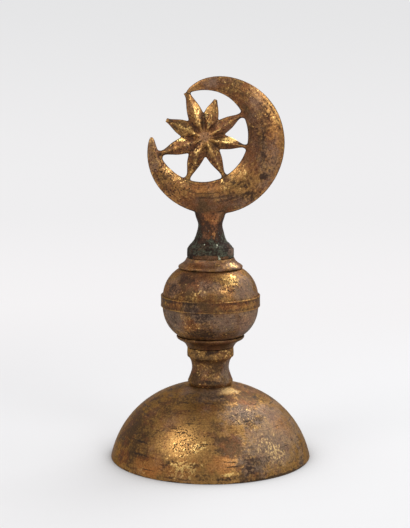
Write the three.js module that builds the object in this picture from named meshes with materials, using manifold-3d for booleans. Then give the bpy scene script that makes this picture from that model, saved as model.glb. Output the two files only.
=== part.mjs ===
// Crescent-and-star finial (alam) of gilt copper on a domed foot.
// Millimetres, +Z up. The origin is the centre of the dome's rim, on the surface that it stands on.
// The pieces are stacked on one iron rod, and each takes its height from the piece below it.

import * as THREE from 'three';
import { mergeVertices } from 'three/addons/utils/BufferGeometryUtils.js';
import Module from 'manifold-3d';

const wasm = await Module();
wasm.setup();
const { degToRad, radToDeg, lerp, smoothstep, clamp } = THREE.MathUtils;

// Clearances
const seatGap = 0.3;            // between pieces that touch on the real object
const rodClearance = 0.5;       // round the rod, in every hole that it passes

// Wall of the raised sheet pieces
const sheet = 1.2;

// Dome: a skirt arc from the rim, then a crown arc whose centre is on the axis
const domeRimRadius = 60;
const domeRimLean = degToRad(11.9);
const domeSkirtArc = 54.3;
const domeShoulder = degToRad(63.4);
const domeSeatRadius = 12.8;    // hammered flat where the neck stands
const domeSeatMargin = 0.6;     // of the seat, left round the neck's base

// Neck: a recessed base, a flared foot, a waist and a head
const neckHeight = 16.9;
const neckBaseHeight = 1.2;
const neckFootRadius = 13.5;
const neckFootEdge = 1.2;
const neckWaistRadius = 11.05;
const neckWaistHeight = 10.0;
const neckHeadRadius = 13.1;
const neckWall = 2.55;
const neckFloor = 2.5;
const neckSpigotRadius = 7.5;

// Collars
const collarRadius = 13.95;
const collarHeight = 5.5;
const collarEdge = 0.5;
const spigotWall = 1.8;
const spigotDepth = 2.0;        // how far a spigot reaches into the piece beside it

// Saucers
const saucerHeight = 6.7;
const saucerWaistRadius = 14.1;
const saucerLipWidth = 0.95;
const saucerLipHeight = 0.8;
const saucerFloor = 2.6;
const saucerCurve = [           // shares of the height and of the flare
  [0.3, 0.2],
  [0.55, 0.45],
  [0.78, 0.82],
];

// Ball: a superellipse turned about the axis, in two bowls with a lapped seam
const ballRadius = 28.65;
const ballHalfHeight = 24.3;
const ballSquareness = 2.4;
const ballFlatRadius = 8.0;
const lapDepth = 3.0;

// Girdle band over the seam
const bandHeight = 6.9;
const bandRise = 1.15;          // centre of the band above the centre of the ball
const bandThickness = 0.7;
const bandEdge = 0.4;

// Stem of the crescent
const stemShift = -0.15;        // the casting stands a little to one side of the rod
const stemBaseRadius = 12.2;
const stemBaseEdge = 0.6;
const stemFlareHeight = 9.0;
const stemFlareRadius = 9.4;    // half way up the flare
const stemNeckRadius = 7.95;    // at the top of the flare
const stemWaistRadius = 7.2;
const stemWaistHeight = 13.8;
const stemShoulderRadius = 9.2;
const stemShoulderDrop = 0.65;  // below the crescent's lower edge
const stemHeight = 19.97;       // up to the crescent's lower edge
const stemTenon = 5.75;         // on from there, inside the crescent's arm
const stemTopRadius = 9.0;
const stemFlattening = 0.32;    // depth against width of the tenon
const socketDepth = 13.0;

// Crescent: its arm runs round an arc. At each angle its inner edge has an offset
// from the arc, and the arm has a width.
const crescentArcRadius = 26.6;
const crescentOffsetX = -5.03;
const crescentArm = [
  { angle: 109, offset: -0.2, width: 1.5 },
  { angle: 104, offset: 0.0, width: 3.0 },
  { angle: 88, offset: 0.5, width: 6.6 },
  { angle: 60, offset: 1.0, width: 11.6 },
  { angle: 20, offset: 0.5, width: 19.1 },
  { angle: -15, offset: 0.3, width: 22.3 },
  { angle: -50, offset: 0.1, width: 22.3 },
  { angle: -80, offset: -0.1, width: 19.9 },
  { angle: -110, offset: -0.2, width: 15.8 },
  { angle: -140, offset: -0.1, width: 11.1 },
  { angle: -165, offset: 0.5, width: 6.1 },
  { angle: -175, offset: 1.2, width: 3.6 },
  { angle: -179.5, offset: 2.2, width: 1.4 },
];
const crescentStep = 7;         // degrees between sections along the arm
const crescentTipStep = 2.5;    // and near its tips
const crescentTipSpan = 16;
const crescentEdge = 1.1;       // half the thickness of the inner and outer edges
const crescentTipEdge = 0.7;
const crescentEdgeGain = 0.05;  // edge thickness gained for each millimetre of width
const crescentSwell = 0.15;     // half thickness gained on the ridge, in the same way
const crescentBevel = [         // shares of the width, from the inner edge, and of the swell
  [0.18, 0.58],
  [0.38, 1],
  [0.72, 0.68],
];
const reachSteps = 4;           // rounds of the search for the edge that a ray meets

// Star: each ray has its angle, the width of its tip and the valley after it. A free
// ray stops short of the crescent and narrows at its end. The others reach it and flare
// where they join it, towards the ray after and the ray before.
const starOffsetX = 1.66;       // from the centre of the crescent's arc
const starOffsetZ = -0.88;
const starRays = [
  { angle: 111.4, tip: 3.8, valley: 14.5, flare: [-0.2, 0.0] },
  { angle: 74.2, tip: 3.6, valley: 13.0, flare: [-0.7, -0.7], short: 4.4 },
  { angle: 32.6, tip: 2.8, valley: 11.6, flare: [2.4, 0.8] },
  { angle: -11.2, tip: 2.0, valley: 10.7, flare: [1.8, 0.8] },
  { angle: -62.8, tip: 2.6, valley: 10.5, flare: [1.0, 1.4] },
  { angle: -113.2, tip: 2.8, valley: 12.8, flare: [1.8, 1.1] },
  { angle: -161.0, tip: 3.0, valley: 13.6, flare: [1.6, 3.2] },
  { angle: -205.4, tip: 3.2, valley: 13.6, flare: [-0.4, -0.4], short: 5.7 },
];
const starBulge = 0.45;         // how far a ray's edge swells past a straight line
const starBulgePlace = 0.45;    // share of the way from the valley to the tip
const starFlareLength = 2.2;
const starHubDepth = 2.6;       // half thickness at the worn centre
const starRidgeDepth = 3.8;     // half thickness on a ray's ridge
const starRidgePlace = 0.4;     // share of the ray's reach
const starTipDepth = 1.3;
const starEdgeDepth = 0.9;

// Rod, washer and nut
const rodRadius = 3.0;
const rodBelowNut = 2.0;
const rodPoint = 0.6;
const washerMargin = 1.8;       // of the flat under the crown, left round the washer
const washerThickness = 1.6;
const nutWidth = 11.0;
const nutHeight = 5.5;
const nutCorner = 1.0;

// Number of flats on the turned pieces
const flatsDome = 48;
const flatsBall = 40;
const flatsNeck = 32;
const flatsRod = 12;

// Number of steps along their curves
const steps = {
  skirt: 6, crown: 3, neck: 9, cup: 4, flare: 6, bowlOutside: 8, bowlInside: 6, stem: 12,
};

// Vertices closer than this are one
const mergeTolerance = 1e-4;

const rodHole = rodRadius + rodClearance;
const neckBaseRadius = domeSeatRadius - domeSeatMargin;
const neckBoreRadius = neckWaistRadius - neckWall;
const collarBoreRadius = neckBoreRadius - seatGap - spigotWall;
const washerRadius = domeSeatRadius - washerMargin;

// A superellipse's radius at a height above or below its centre.
function superRadius(radius, halfHeight, height) {
  const share = Math.abs(height) / halfHeight;
  return radius * (1 - share ** ballSquareness) ** (1 / ballSquareness);
}

// A superellipse's height above its centre at a radius.
function superHeight(radius, halfHeight, at) {
  return halfHeight * (1 - (at / radius) ** ballSquareness) ** (1 / ballSquareness);
}

// A point of a profile: distance from the axis, and height.
function point(radius, height) {
  return new THREE.Vector2(radius, height);
}

// Points along an arc of a profile, both ends included.
function arc(centre, radius, from, to, count) {
  const points = [];
  for (let i = 0; i <= count; i += 1) {
    const angle = lerp(from, to, i / count);
    points.push(point(centre.x + radius * Math.cos(angle), centre.y + radius * Math.sin(angle)));
  }
  return points;
}

// Points along a smooth curve through a few points of a profile, both ends included.
function through(points, count) {
  return new THREE.SplineCurve(points).getPoints(count);
}

// Volume of a closed triangle mesh, negative where its faces point inwards.
function signedVolume(geometry) {
  const place = geometry.attributes.position;
  const index = geometry.index.array;
  const corner = [new THREE.Vector3(), new THREE.Vector3(), new THREE.Vector3()];
  let sum = 0;
  for (let i = 0; i < index.length; i += 3) {
    corner.forEach((c, k) => c.fromBufferAttribute(place, index[i + k]));
    sum += corner[0].dot(corner[1].cross(corner[2]));
  }
  return sum / 6;
}

// Merges the shared vertices, drops triangles of no area and turns the faces outwards.
function closed(geometry) {
  geometry.deleteAttribute('normal');
  geometry.deleteAttribute('uv');
  const merged = mergeVertices(geometry, mergeTolerance);
  const kept = [];
  const index = merged.index.array;
  for (let i = 0; i < index.length; i += 3) {
    const [a, b, c] = [index[i], index[i + 1], index[i + 2]];
    if (a !== b && b !== c && c !== a) kept.push(a, b, c);
  }
  merged.setIndex(kept);
  if (signedVolume(merged) < 0) {
    for (let i = 0; i < kept.length; i += 3) {
      [kept[i], kept[i + 1]] = [kept[i + 1], kept[i]];
    }
    merged.setIndex(kept);
  }
  return merged;
}

// Turns a closed profile about the Z axis.
function turned(profile, flats) {
  const lathe = new THREE.LatheGeometry([...profile, profile[0].clone()], flats);
  lathe.rotateX(Math.PI / 2);
  return closed(lathe);
}

// A geometry as a solid that can be joined and cut.
function solid(geometry) {
  const mesh = new wasm.Mesh({
    numProp: 3,
    vertProperties: new Float32Array(geometry.attributes.position.array),
    triVerts: new Uint32Array(geometry.index.array),
  });
  return new wasm.Manifold(mesh);
}

// A solid back as a geometry.
function asGeometry(manifold) {
  const mesh = manifold.getMesh();
  const geometry = new THREE.BufferGeometry();
  geometry.setAttribute('position', new THREE.BufferAttribute(mesh.vertProperties, 3));
  geometry.setIndex(new THREE.BufferAttribute(mesh.triVerts, 1));
  return geometry;
}

// Dome

// The outer or inner face of the dome, from its rim up to its flat seat.
function domeFace(inset) {
  const lowCentre = point(
    domeRimRadius - domeSkirtArc * Math.cos(domeRimLean),
    -domeSkirtArc * Math.sin(domeRimLean),
  );
  const skirtArc = domeSkirtArc - inset;
  const fullArc = lowCentre.x / Math.cos(domeShoulder) + domeSkirtArc;
  const crownCentre = point(0, lowCentre.y - lowCentre.x * Math.tan(domeShoulder));
  const crownArc = fullArc - inset;
  const start = Math.asin(-lowCentre.y / skirtArc);
  const skirt = arc(lowCentre, skirtArc, start, domeShoulder, steps.skirt);
  const seatAngle = Math.acos(domeSeatRadius / crownArc);
  const crown = arc(crownCentre, crownArc, domeShoulder, seatAngle, steps.crown);
  return [...skirt, ...crown.slice(1)];
}

const domeOutside = domeFace(0);
const domeInside = domeFace(sheet);
const domeSeatTop = domeOutside[domeOutside.length - 1].y;
const domeSeatUnder = domeSeatTop - sheet;
const crownHole = neckSpigotRadius + seatGap;

function domeShell() {
  const inside = domeInside.filter((p) => p.y < domeSeatUnder - seatGap);
  return turned([
    ...domeOutside,
    point(crownHole, domeSeatTop),
    point(crownHole, domeSeatUnder),
    point(domeSeatRadius, domeSeatUnder),
    ...inside.reverse(),
  ], flatsDome);
}

// Neck

const neckBottom = domeSeatTop + seatGap;
const neckTop = neckBottom + neckHeight;

function neckSpool() {
  const foot = neckBottom + neckBaseHeight;
  const edge = point(neckFootRadius, foot + neckFootEdge);
  const waist = point(neckWaistRadius, neckBottom + neckWaistHeight);
  const head = point(neckHeadRadius, neckTop);
  const outside = through([
    edge,
    point(lerp(edge.x, waist.x, 0.64), lerp(edge.y, waist.y, 0.45)),
    waist,
    point(lerp(waist.x, head.x, 0.29), lerp(waist.y, head.y, 0.58)),
    head,
  ], steps.neck);
  return turned([
    point(rodHole, neckBottom - sheet),
    point(neckSpigotRadius, neckBottom - sheet),
    point(neckSpigotRadius, neckBottom),
    point(neckBaseRadius, neckBottom),
    point(neckBaseRadius, foot),
    point(neckFootRadius, foot),
    ...outside,
    point(neckBoreRadius, neckTop),
    point(neckBoreRadius, neckBottom + neckFloor),
    point(rodHole, neckBottom + neckFloor),
  ], flatsNeck);
}

// Collars

const lowerCollarBottom = neckTop + seatGap;
const lowerCollarTop = lowerCollarBottom + collarHeight;

// A plain ring with broken edges. The points of its foot come before its outside.
function collar(bottom, foot) {
  const top = bottom + collarHeight;
  return turned([
    ...foot,
    point(collarRadius - collarEdge, bottom),
    point(collarRadius, bottom + collarEdge),
    point(collarRadius, top - collarEdge),
    point(collarRadius - collarEdge, top),
    point(collarBoreRadius, top),
  ], flatsNeck);
}

// The lower collar has a spigot in the neck's bore.
function lowerCollar() {
  const spigotRadius = neckBoreRadius - seatGap;
  return collar(lowerCollarBottom, [
    point(collarBoreRadius, lowerCollarBottom - spigotDepth),
    point(spigotRadius, lowerCollarBottom - spigotDepth),
    point(spigotRadius, lowerCollarBottom),
  ]);
}

// The upper collar takes the upper saucer's spigot in its own bore.
function upperCollar() {
  return collar(upperCollarBottom, [point(collarBoreRadius, upperCollarBottom)]);
}

// Ball and saucers

const ballFlatHeight = superHeight(ballRadius, ballHalfHeight, ballFlatRadius);
const lowerSaucerBottom = lowerCollarTop + seatGap;
const saucerToBall = saucerFloor + seatGap + ballFlatHeight;
const ballCentre = lowerSaucerBottom + saucerToBall;
const ballTop = ballCentre + ballFlatHeight;

// Points of the ball's face between two heights above its centre. The face is
// moved inwards by an inset, or outwards where that is negative.
function ballFace(inset, from, to, count) {
  const half = ballHalfHeight - inset;
  const points = [];
  for (let i = 0; i <= count; i += 1) {
    const turn = lerp(Math.asin(from / half), Math.asin(to / half), i / count);
    const height = half * Math.sin(turn);
    points.push(point(superRadius(ballRadius - inset, half, height), height));
  }
  return points;
}

// A saucer that cups the ball. It opens upwards from the height of its waist, or
// downwards where side is -1. Its spigot fits the bore of the collar beside its waist.
function saucer(waistHeight, side) {
  const at = (radius, height) => point(radius, waistHeight + side * height);
  const cup = ballFace(-seatGap, saucerHeight - saucerToBall, -ballFlatHeight - seatGap, steps.cup);
  const rimRadius = cup[0].x + saucerLipWidth;
  const flare = rimRadius - saucerWaistRadius;
  const outside = through([
    point(saucerWaistRadius, 0),
    ...saucerCurve.map(([up, out]) => point(saucerWaistRadius + flare * out, saucerHeight * up)),
    point(rimRadius, saucerHeight - saucerLipHeight),
  ], steps.flare);
  return turned([
    at(rodHole, -spigotDepth),
    at(collarBoreRadius - seatGap, -spigotDepth),
    at(collarBoreRadius - seatGap, 0),
    ...outside.map((p) => at(p.x, p.y)),
    at(rimRadius, saucerHeight),
    ...cup.map((p) => at(p.x, saucerToBall + p.y)),
    at(rodHole, saucerFloor),
  ], flatsBall);
}

// Heights in a profile of the ball are above its centre: this sets them in place.
function placedBall(profile) {
  return turned(profile.map((p) => point(p.x, ballCentre + p.y)), flatsBall);
}

function lowerBowl() {
  return placedBall([
    point(rodHole, -ballFlatHeight),
    ...ballFace(0, -ballFlatHeight, bandRise, steps.bowlOutside),
    ...ballFace(sheet, bandRise, sheet - ballFlatHeight, steps.bowlInside),
    point(rodHole, sheet - ballFlatHeight),
  ]);
}

function upperBowl() {
  const rim = bandRise + seatGap;
  const lapOutside = superRadius(ballRadius - sheet, ballHalfHeight - sheet, rim) - seatGap;
  const lapInside = lapOutside - sheet;
  const lapRoot = rim + sheet;
  return placedBall([
    point(rodHole, ballFlatHeight),
    ...ballFace(0, ballFlatHeight, rim, steps.bowlOutside),
    point(lapOutside, rim),
    point(lapOutside, rim - lapDepth),
    point(lapInside, rim - lapDepth),
    point(lapInside, lapRoot),
    ...ballFace(sheet, lapRoot + sheet, ballFlatHeight - sheet, steps.bowlInside),
    point(rodHole, ballFlatHeight - sheet),
  ]);
}

function girdleBand() {
  const low = ballCentre + bandRise - bandHeight / 2;
  const high = low + bandHeight;
  const inner = ballRadius + seatGap;
  const outer = inner + bandThickness;
  return turned([
    point(inner, low),
    point(outer - bandEdge, low),
    point(outer, low + bandEdge),
    point(outer, high - bandEdge),
    point(outer - bandEdge, high),
    point(inner, high),
  ], flatsBall);
}

// Upper saucer and collar

const upperSaucerTop = ballTop + seatGap + saucerFloor;
const upperCollarBottom = upperSaucerTop + seatGap;
const upperCollarTop = upperCollarBottom + collarHeight;

// Crescent

const stemBottom = upperCollarTop + seatGap;
const socketTop = stemBottom + socketDepth;

// A value of the arm at an angle, on a smooth curve through its keys.
function armAt(name, angle) {
  const last = crescentArm.length - 1;
  let k = 0;
  while (k < last - 1 && crescentArm[k + 1].angle > angle) k += 1;
  const slope = (i) => {
    const before = crescentArm[Math.max(i - 1, 0)];
    const after = crescentArm[Math.min(i + 1, last)];
    return (after[name] - before[name]) / (after.angle - before.angle);
  };
  const from = crescentArm[k];
  const span = crescentArm[k + 1].angle - from.angle;
  const t = (angle - from.angle) / span;
  const leave = slope(k) * span * t * (1 - t) ** 2;
  const arrive = slope(k + 1) * span * t ** 2 * (t - 1);
  const blend = t ** 2 * (3 - 2 * t);
  return lerp(from[name], crescentArm[k + 1][name], blend) + leave + arrive;
}

// Angle of a point seen from the arc's centre, or of the nearer tip where it is in the mouth.
function armAngle(at) {
  const top = crescentArm[0].angle;
  const low = crescentArm[crescentArm.length - 1].angle;
  const turn = radToDeg(at.angle());
  const mouth = (top + low + 360) / 2;
  return clamp(turn > mouth ? turn - 360 : turn, low, top);
}

// Distance from the arc's centre to the inner edge of the arm.
function innerEdge(angle) {
  return crescentArcRadius + armAt('offset', angle);
}

// The crescent stands on its stem by the lowest point of its outer edge.
const below = -90;
const armBottom = innerEdge(below) + armAt('width', below);
const arcCentre = point(crescentOffsetX, stemBottom + stemHeight + armBottom);

// Angles of the sections, from the upper tip round to the lower one.
function armStations() {
  const top = crescentArm[0].angle;
  const low = crescentArm[crescentArm.length - 1].angle;
  const angles = [top];
  while (angles[angles.length - 1] > low) {
    const at = angles[angles.length - 1];
    const nearTip = Math.min(top - at, at - low) < crescentTipSpan;
    angles.push(Math.max(at - (nearTip ? crescentTipStep : crescentStep), low));
  }
  return angles;
}

// Outline of the cross-section of the arm: distance from the inner edge and half depth,
// along the front from the inner to the outer edge.
function armSection(width) {
  const edge = Math.min(crescentEdge, crescentTipEdge + crescentEdgeGain * width);
  const swell = crescentSwell * width;
  return [
    [0, edge],
    ...crescentBevel.map(([across, out]) => [width * across, edge + swell * out]),
    [width, edge],
  ];
}

// One closed mesh from rings of points, with a flat end at each side.
function loft(rings) {
  const size = rings[0].length;
  const places = rings.flat().flatMap((p) => [p.x, p.y, p.z]);
  const faces = [];
  for (let i = 0; i + 1 < rings.length; i += 1) {
    for (let j = 0; j < size; j += 1) {
      const a = i * size + j;
      const b = i * size + (j + 1) % size;
      faces.push(a, b, a + size, b, b + size, a + size);
    }
  }
  const last = (rings.length - 1) * size;
  for (let j = 1; j + 1 < size; j += 1) {
    faces.push(0, j + 1, j, last, last + j, last + j + 1);
  }
  const geometry = new THREE.BufferGeometry();
  geometry.setAttribute('position', new THREE.Float32BufferAttribute(places, 3));
  geometry.setIndex(faces);
  return closed(geometry);
}

function crescentArc() {
  return loft(armStations().map((angle) => {
    const turn = degToRad(angle);
    const front = armSection(armAt('width', angle));
    const back = [...front].reverse().map(([across, depth]) => [across, -depth]);
    return [...front, ...back].map(([across, depth]) => new THREE.Vector3(
      arcCentre.x + (innerEdge(angle) + across) * Math.cos(turn),
      depth,
      arcCentre.y + (innerEdge(angle) + across) * Math.sin(turn),
    ));
  }));
}

// The stem is round at its foot and flattened where it meets the crescent.
function stem() {
  const top = stemHeight + stemTenon;
  const profile = [
    point(0, 0),
    point(stemBaseRadius - stemBaseEdge, 0),
    point(stemBaseRadius, stemBaseEdge),
    ...through([
      point(stemBaseRadius, stemBaseEdge * 2),
      point(stemFlareRadius, stemFlareHeight / 2),
      point(stemNeckRadius, stemFlareHeight),
      point(stemWaistRadius, stemWaistHeight),
      point(stemShoulderRadius, stemHeight - stemShoulderDrop),
      point(stemTopRadius, top),
    ], steps.stem),
    point(0, top),
  ];
  const lathe = new THREE.LatheGeometry(profile, flatsNeck);
  lathe.rotateX(Math.PI / 2);
  const place = lathe.attributes.position;
  for (let i = 0; i < place.count; i += 1) {
    const rise = smoothstep(place.getZ(i), stemFlareHeight, stemHeight + stemTenon / 2);
    place.setY(i, place.getY(i) * lerp(1, stemFlattening, rise));
  }
  lathe.translate(stemShift, 0, stemBottom);
  return closed(lathe);
}

// The hole for the rod, as deep above the foot of the stem as below it.
function socket() {
  const radius = rodRadius + seatGap;
  const hole = new THREE.CylinderGeometry(radius, radius, socketDepth * 2, flatsRod);
  hole.rotateX(Math.PI / 2);
  hole.translate(0, 0, stemBottom);
  return closed(hole);
}

function crescent() {
  return asGeometry(solid(crescentArc()).add(solid(stem())).subtract(solid(socket())));
}

// Star

const starCentre = point(arcCentre.x + starOffsetX, arcCentre.y + starOffsetZ);

// Distance from the star's centre to the crescent, along a ray and beside it.
function reachToCrescent(direction, aside) {
  const side = point(-direction.y, direction.x).multiplyScalar(aside);
  const from = point(starOffsetX, starOffsetZ).add(side);
  const along = from.dot(direction);
  let reach = crescentArcRadius;
  for (let i = 0; i < reachSteps; i += 1) {
    const at = from.clone().addScaledVector(direction, reach);
    const limit = innerEdge(armAngle(at)) - seatGap;
    reach = Math.sqrt(limit ** 2 - from.lengthSq() + along ** 2) - along;
  }
  return reach;
}

// One ray's points on its front: its outline from the valley after it to the valley
// before it, and a point on its ridge.
function rayPoints(ray, before) {
  const angle = degToRad(ray.angle);
  const direction = point(Math.cos(angle), Math.sin(angle));
  const place = (along, aside, depth) => new THREE.Vector3(
    starCentre.x + direction.x * along - direction.y * aside,
    depth,
    starCentre.y + direction.y * along + direction.x * aside,
  );
  const reach = (aside) => reachToCrescent(direction, aside) - (ray.short ?? 0);
  const edge = (valley, side, flare) => {
    const turn = degToRad(valley.angle) - angle;
    const root = point(valley.radius * Math.cos(turn), valley.radius * Math.sin(turn));
    const neck = point(reach(0) - starFlareLength, side * ray.tip / 2);
    const swell = root.clone().lerp(neck, starBulgePlace);
    const corner = side * (ray.tip / 2 + flare);
    return [
      place(root.x, root.y, starEdgeDepth),
      place(swell.x, swell.y + side * starBulge, starEdgeDepth),
      place(neck.x, neck.y, starEdgeDepth),
      place(reach(corner), corner, starEdgeDepth),
    ];
  };
  const [flareAfter, flareBefore] = ray.flare ?? [0, 0];
  const after = edge(ray.after, -1, flareAfter);
  const ahead = edge(before.after, 1, flareBefore).reverse();
  return {
    outline: [...after, place(reach(0), 0, starTipDepth), ...ahead],
    ridge: place(reach(0) * starRidgePlace, 0, starRidgeDepth),
  };
}

function star() {
  const count = starRays.length;
  const rays = starRays.map((ray, i) => {
    const next = starRays[(i + 1) % count];
    const turn = next.angle - ray.angle - (i + 1 === count ? 360 : 0);
    return { ...ray, after: { angle: ray.angle + turn / 2, radius: ray.valley } };
  });
  const hub = new THREE.Vector3(starCentre.x, starHubDepth, starCentre.y);
  const triangles = [];
  const behind = (p) => new THREE.Vector3(p.x, -p.y, p.z);
  const both = (a, b, c) => triangles.push(a, b, c, behind(b), behind(a), behind(c));
  const wall = (a, b) => triangles.push(a, b, behind(a), b, behind(b), behind(a));
  rays.forEach((ray, i) => {
    const { outline, ridge } = rayPoints(ray, rays[(i + count - 1) % count]);
    both(hub, outline[0], ridge);
    both(outline[outline.length - 1], hub, ridge);
    for (let j = 0; j + 1 < outline.length; j += 1) {
      both(outline[j], outline[j + 1], ridge);
      wall(outline[j + 1], outline[j]);
    }
  });
  return closed(new THREE.BufferGeometry().setFromPoints(triangles));
}

// Rod, washer and nut

const washerTop = domeSeatUnder - seatGap;
const nutTop = washerTop - washerThickness - seatGap;
const nutBottom = nutTop - nutHeight;

function tieRod() {
  const bottom = nutBottom - rodBelowNut;
  const top = socketTop - seatGap;
  return turned([
    point(0, bottom),
    point(rodRadius - rodPoint, bottom),
    point(rodRadius, bottom + rodPoint),
    point(rodRadius, top - rodPoint),
    point(rodRadius - rodPoint, top),
    point(0, top),
  ], flatsRod);
}

function crownWasher() {
  return turned([
    point(rodHole, washerTop - washerThickness),
    point(washerRadius, washerTop - washerThickness),
    point(washerRadius, washerTop),
    point(rodHole, washerTop),
  ], flatsNeck);
}

// A square nut with cut corners.
function rodNut() {
  const half = nutWidth / 2;
  const cut = half - nutCorner;
  const corners = [];
  for (let i = 0; i < 4; i += 1) {
    const centre = point(0, 0);
    const turn = i * Math.PI / 2;
    corners.push(point(half, -cut).rotateAround(centre, turn));
    corners.push(point(half, cut).rotateAround(centre, turn));
  }
  const outline = new THREE.Shape(corners);
  const hole = new THREE.Path();
  hole.absarc(0, 0, rodRadius + seatGap, 0, Math.PI * 2, true);
  outline.holes.push(hole);
  const nut = new THREE.ExtrudeGeometry(outline, {
    depth: nutHeight, bevelEnabled: false, curveSegments: flatsRod,
  });
  nut.translate(0, 0, nutBottom);
  return closed(nut);
}

// Assembly

const finishes = {
  gilt: { color: 0x8a6a3c, roughness: 0.45, metalness: 1.0 },
  giltDark: { color: 0x6e5434, roughness: 0.55, metalness: 1.0 },
  verdigris: { color: 0x4c4a36, roughness: 0.7, metalness: 0.8 },
  iron: { color: 0x3a3430, roughness: 0.75, metalness: 0.9 },
};

const finial = new THREE.Group();

function piece(name, geometry, finish) {
  const mesh = new THREE.Mesh(geometry, new THREE.MeshStandardMaterial(finishes[finish]));
  mesh.name = name;
  finial.add(mesh);
}

piece('dome_shell', domeShell(), 'gilt');
piece('neck_spool', neckSpool(), 'giltDark');
piece('lower_collar', lowerCollar(), 'giltDark');
piece('lower_saucer', saucer(lowerSaucerBottom, 1), 'gilt');
piece('lower_bowl', lowerBowl(), 'giltDark');
piece('girdle_band', girdleBand(), 'gilt');
piece('upper_bowl', upperBowl(), 'gilt');
piece('upper_saucer', saucer(upperSaucerTop, -1), 'gilt');
piece('upper_collar', upperCollar(), 'verdigris');
piece('crescent', crescent(), 'gilt');
piece('star', star(), 'gilt');
piece('tie_rod', tieRod(), 'iron');
piece('crown_washer', crownWasher(), 'iron');
piece('rod_nut', rodNut(), 'iron');

export default finial;
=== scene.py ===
"""Looks of a crescent-and-star finial of gilt copper.

The classes hold their sizes in millimetres, and their meshes are built in metres, in the CAD
frame: +Z up, the origin at the centre of the dome's rim, the photograph's view along +Y.
"""

import logging
import math
from collections.abc import Mapping, Sequence
from dataclasses import dataclass
from enum import Enum

import bpy
import numpy as np
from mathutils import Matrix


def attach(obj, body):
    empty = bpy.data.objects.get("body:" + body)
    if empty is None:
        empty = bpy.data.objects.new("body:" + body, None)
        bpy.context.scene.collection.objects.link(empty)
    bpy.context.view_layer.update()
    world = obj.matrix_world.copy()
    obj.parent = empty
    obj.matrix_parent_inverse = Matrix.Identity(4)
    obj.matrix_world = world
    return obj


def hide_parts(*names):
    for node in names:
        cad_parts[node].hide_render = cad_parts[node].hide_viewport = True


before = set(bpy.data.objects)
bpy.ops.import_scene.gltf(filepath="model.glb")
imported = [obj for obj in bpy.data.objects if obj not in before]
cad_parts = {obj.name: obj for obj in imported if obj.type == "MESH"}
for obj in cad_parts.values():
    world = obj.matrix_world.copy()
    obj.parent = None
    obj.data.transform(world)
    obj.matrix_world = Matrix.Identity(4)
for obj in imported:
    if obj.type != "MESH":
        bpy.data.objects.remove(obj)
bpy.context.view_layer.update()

MM = 0.001
BODY = "root"
LOG = logging.getLogger("finial")

# In mm: the holes that the rod passes, and the gap where one piece sits on another
ROD_HOLE = 3.5
GAP = 0.3

Colour = tuple[float, float, float, float]
Place = tuple[float, float, float]
Inputs = Mapping[str | int, object]
Socket = bpy.types.NodeSocket
Material = bpy.types.Material
Piece = bpy.types.Object


def srgb(*channels: int) -> Colour:
    """Turns a colour into Blender's linear colour.

    Args:
        channels: Its red, green and blue from 0 to 255.

    Returns:
        The linear colour with full alpha.
    """
    shares = [channel / 255 for channel in channels]
    linear = [share / 12.92 if share <= 0.04045 else ((share + 0.055) / 1.055) ** 2.4 for share in shares]
    return (*linear, 1.0)


# Node trees


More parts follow.
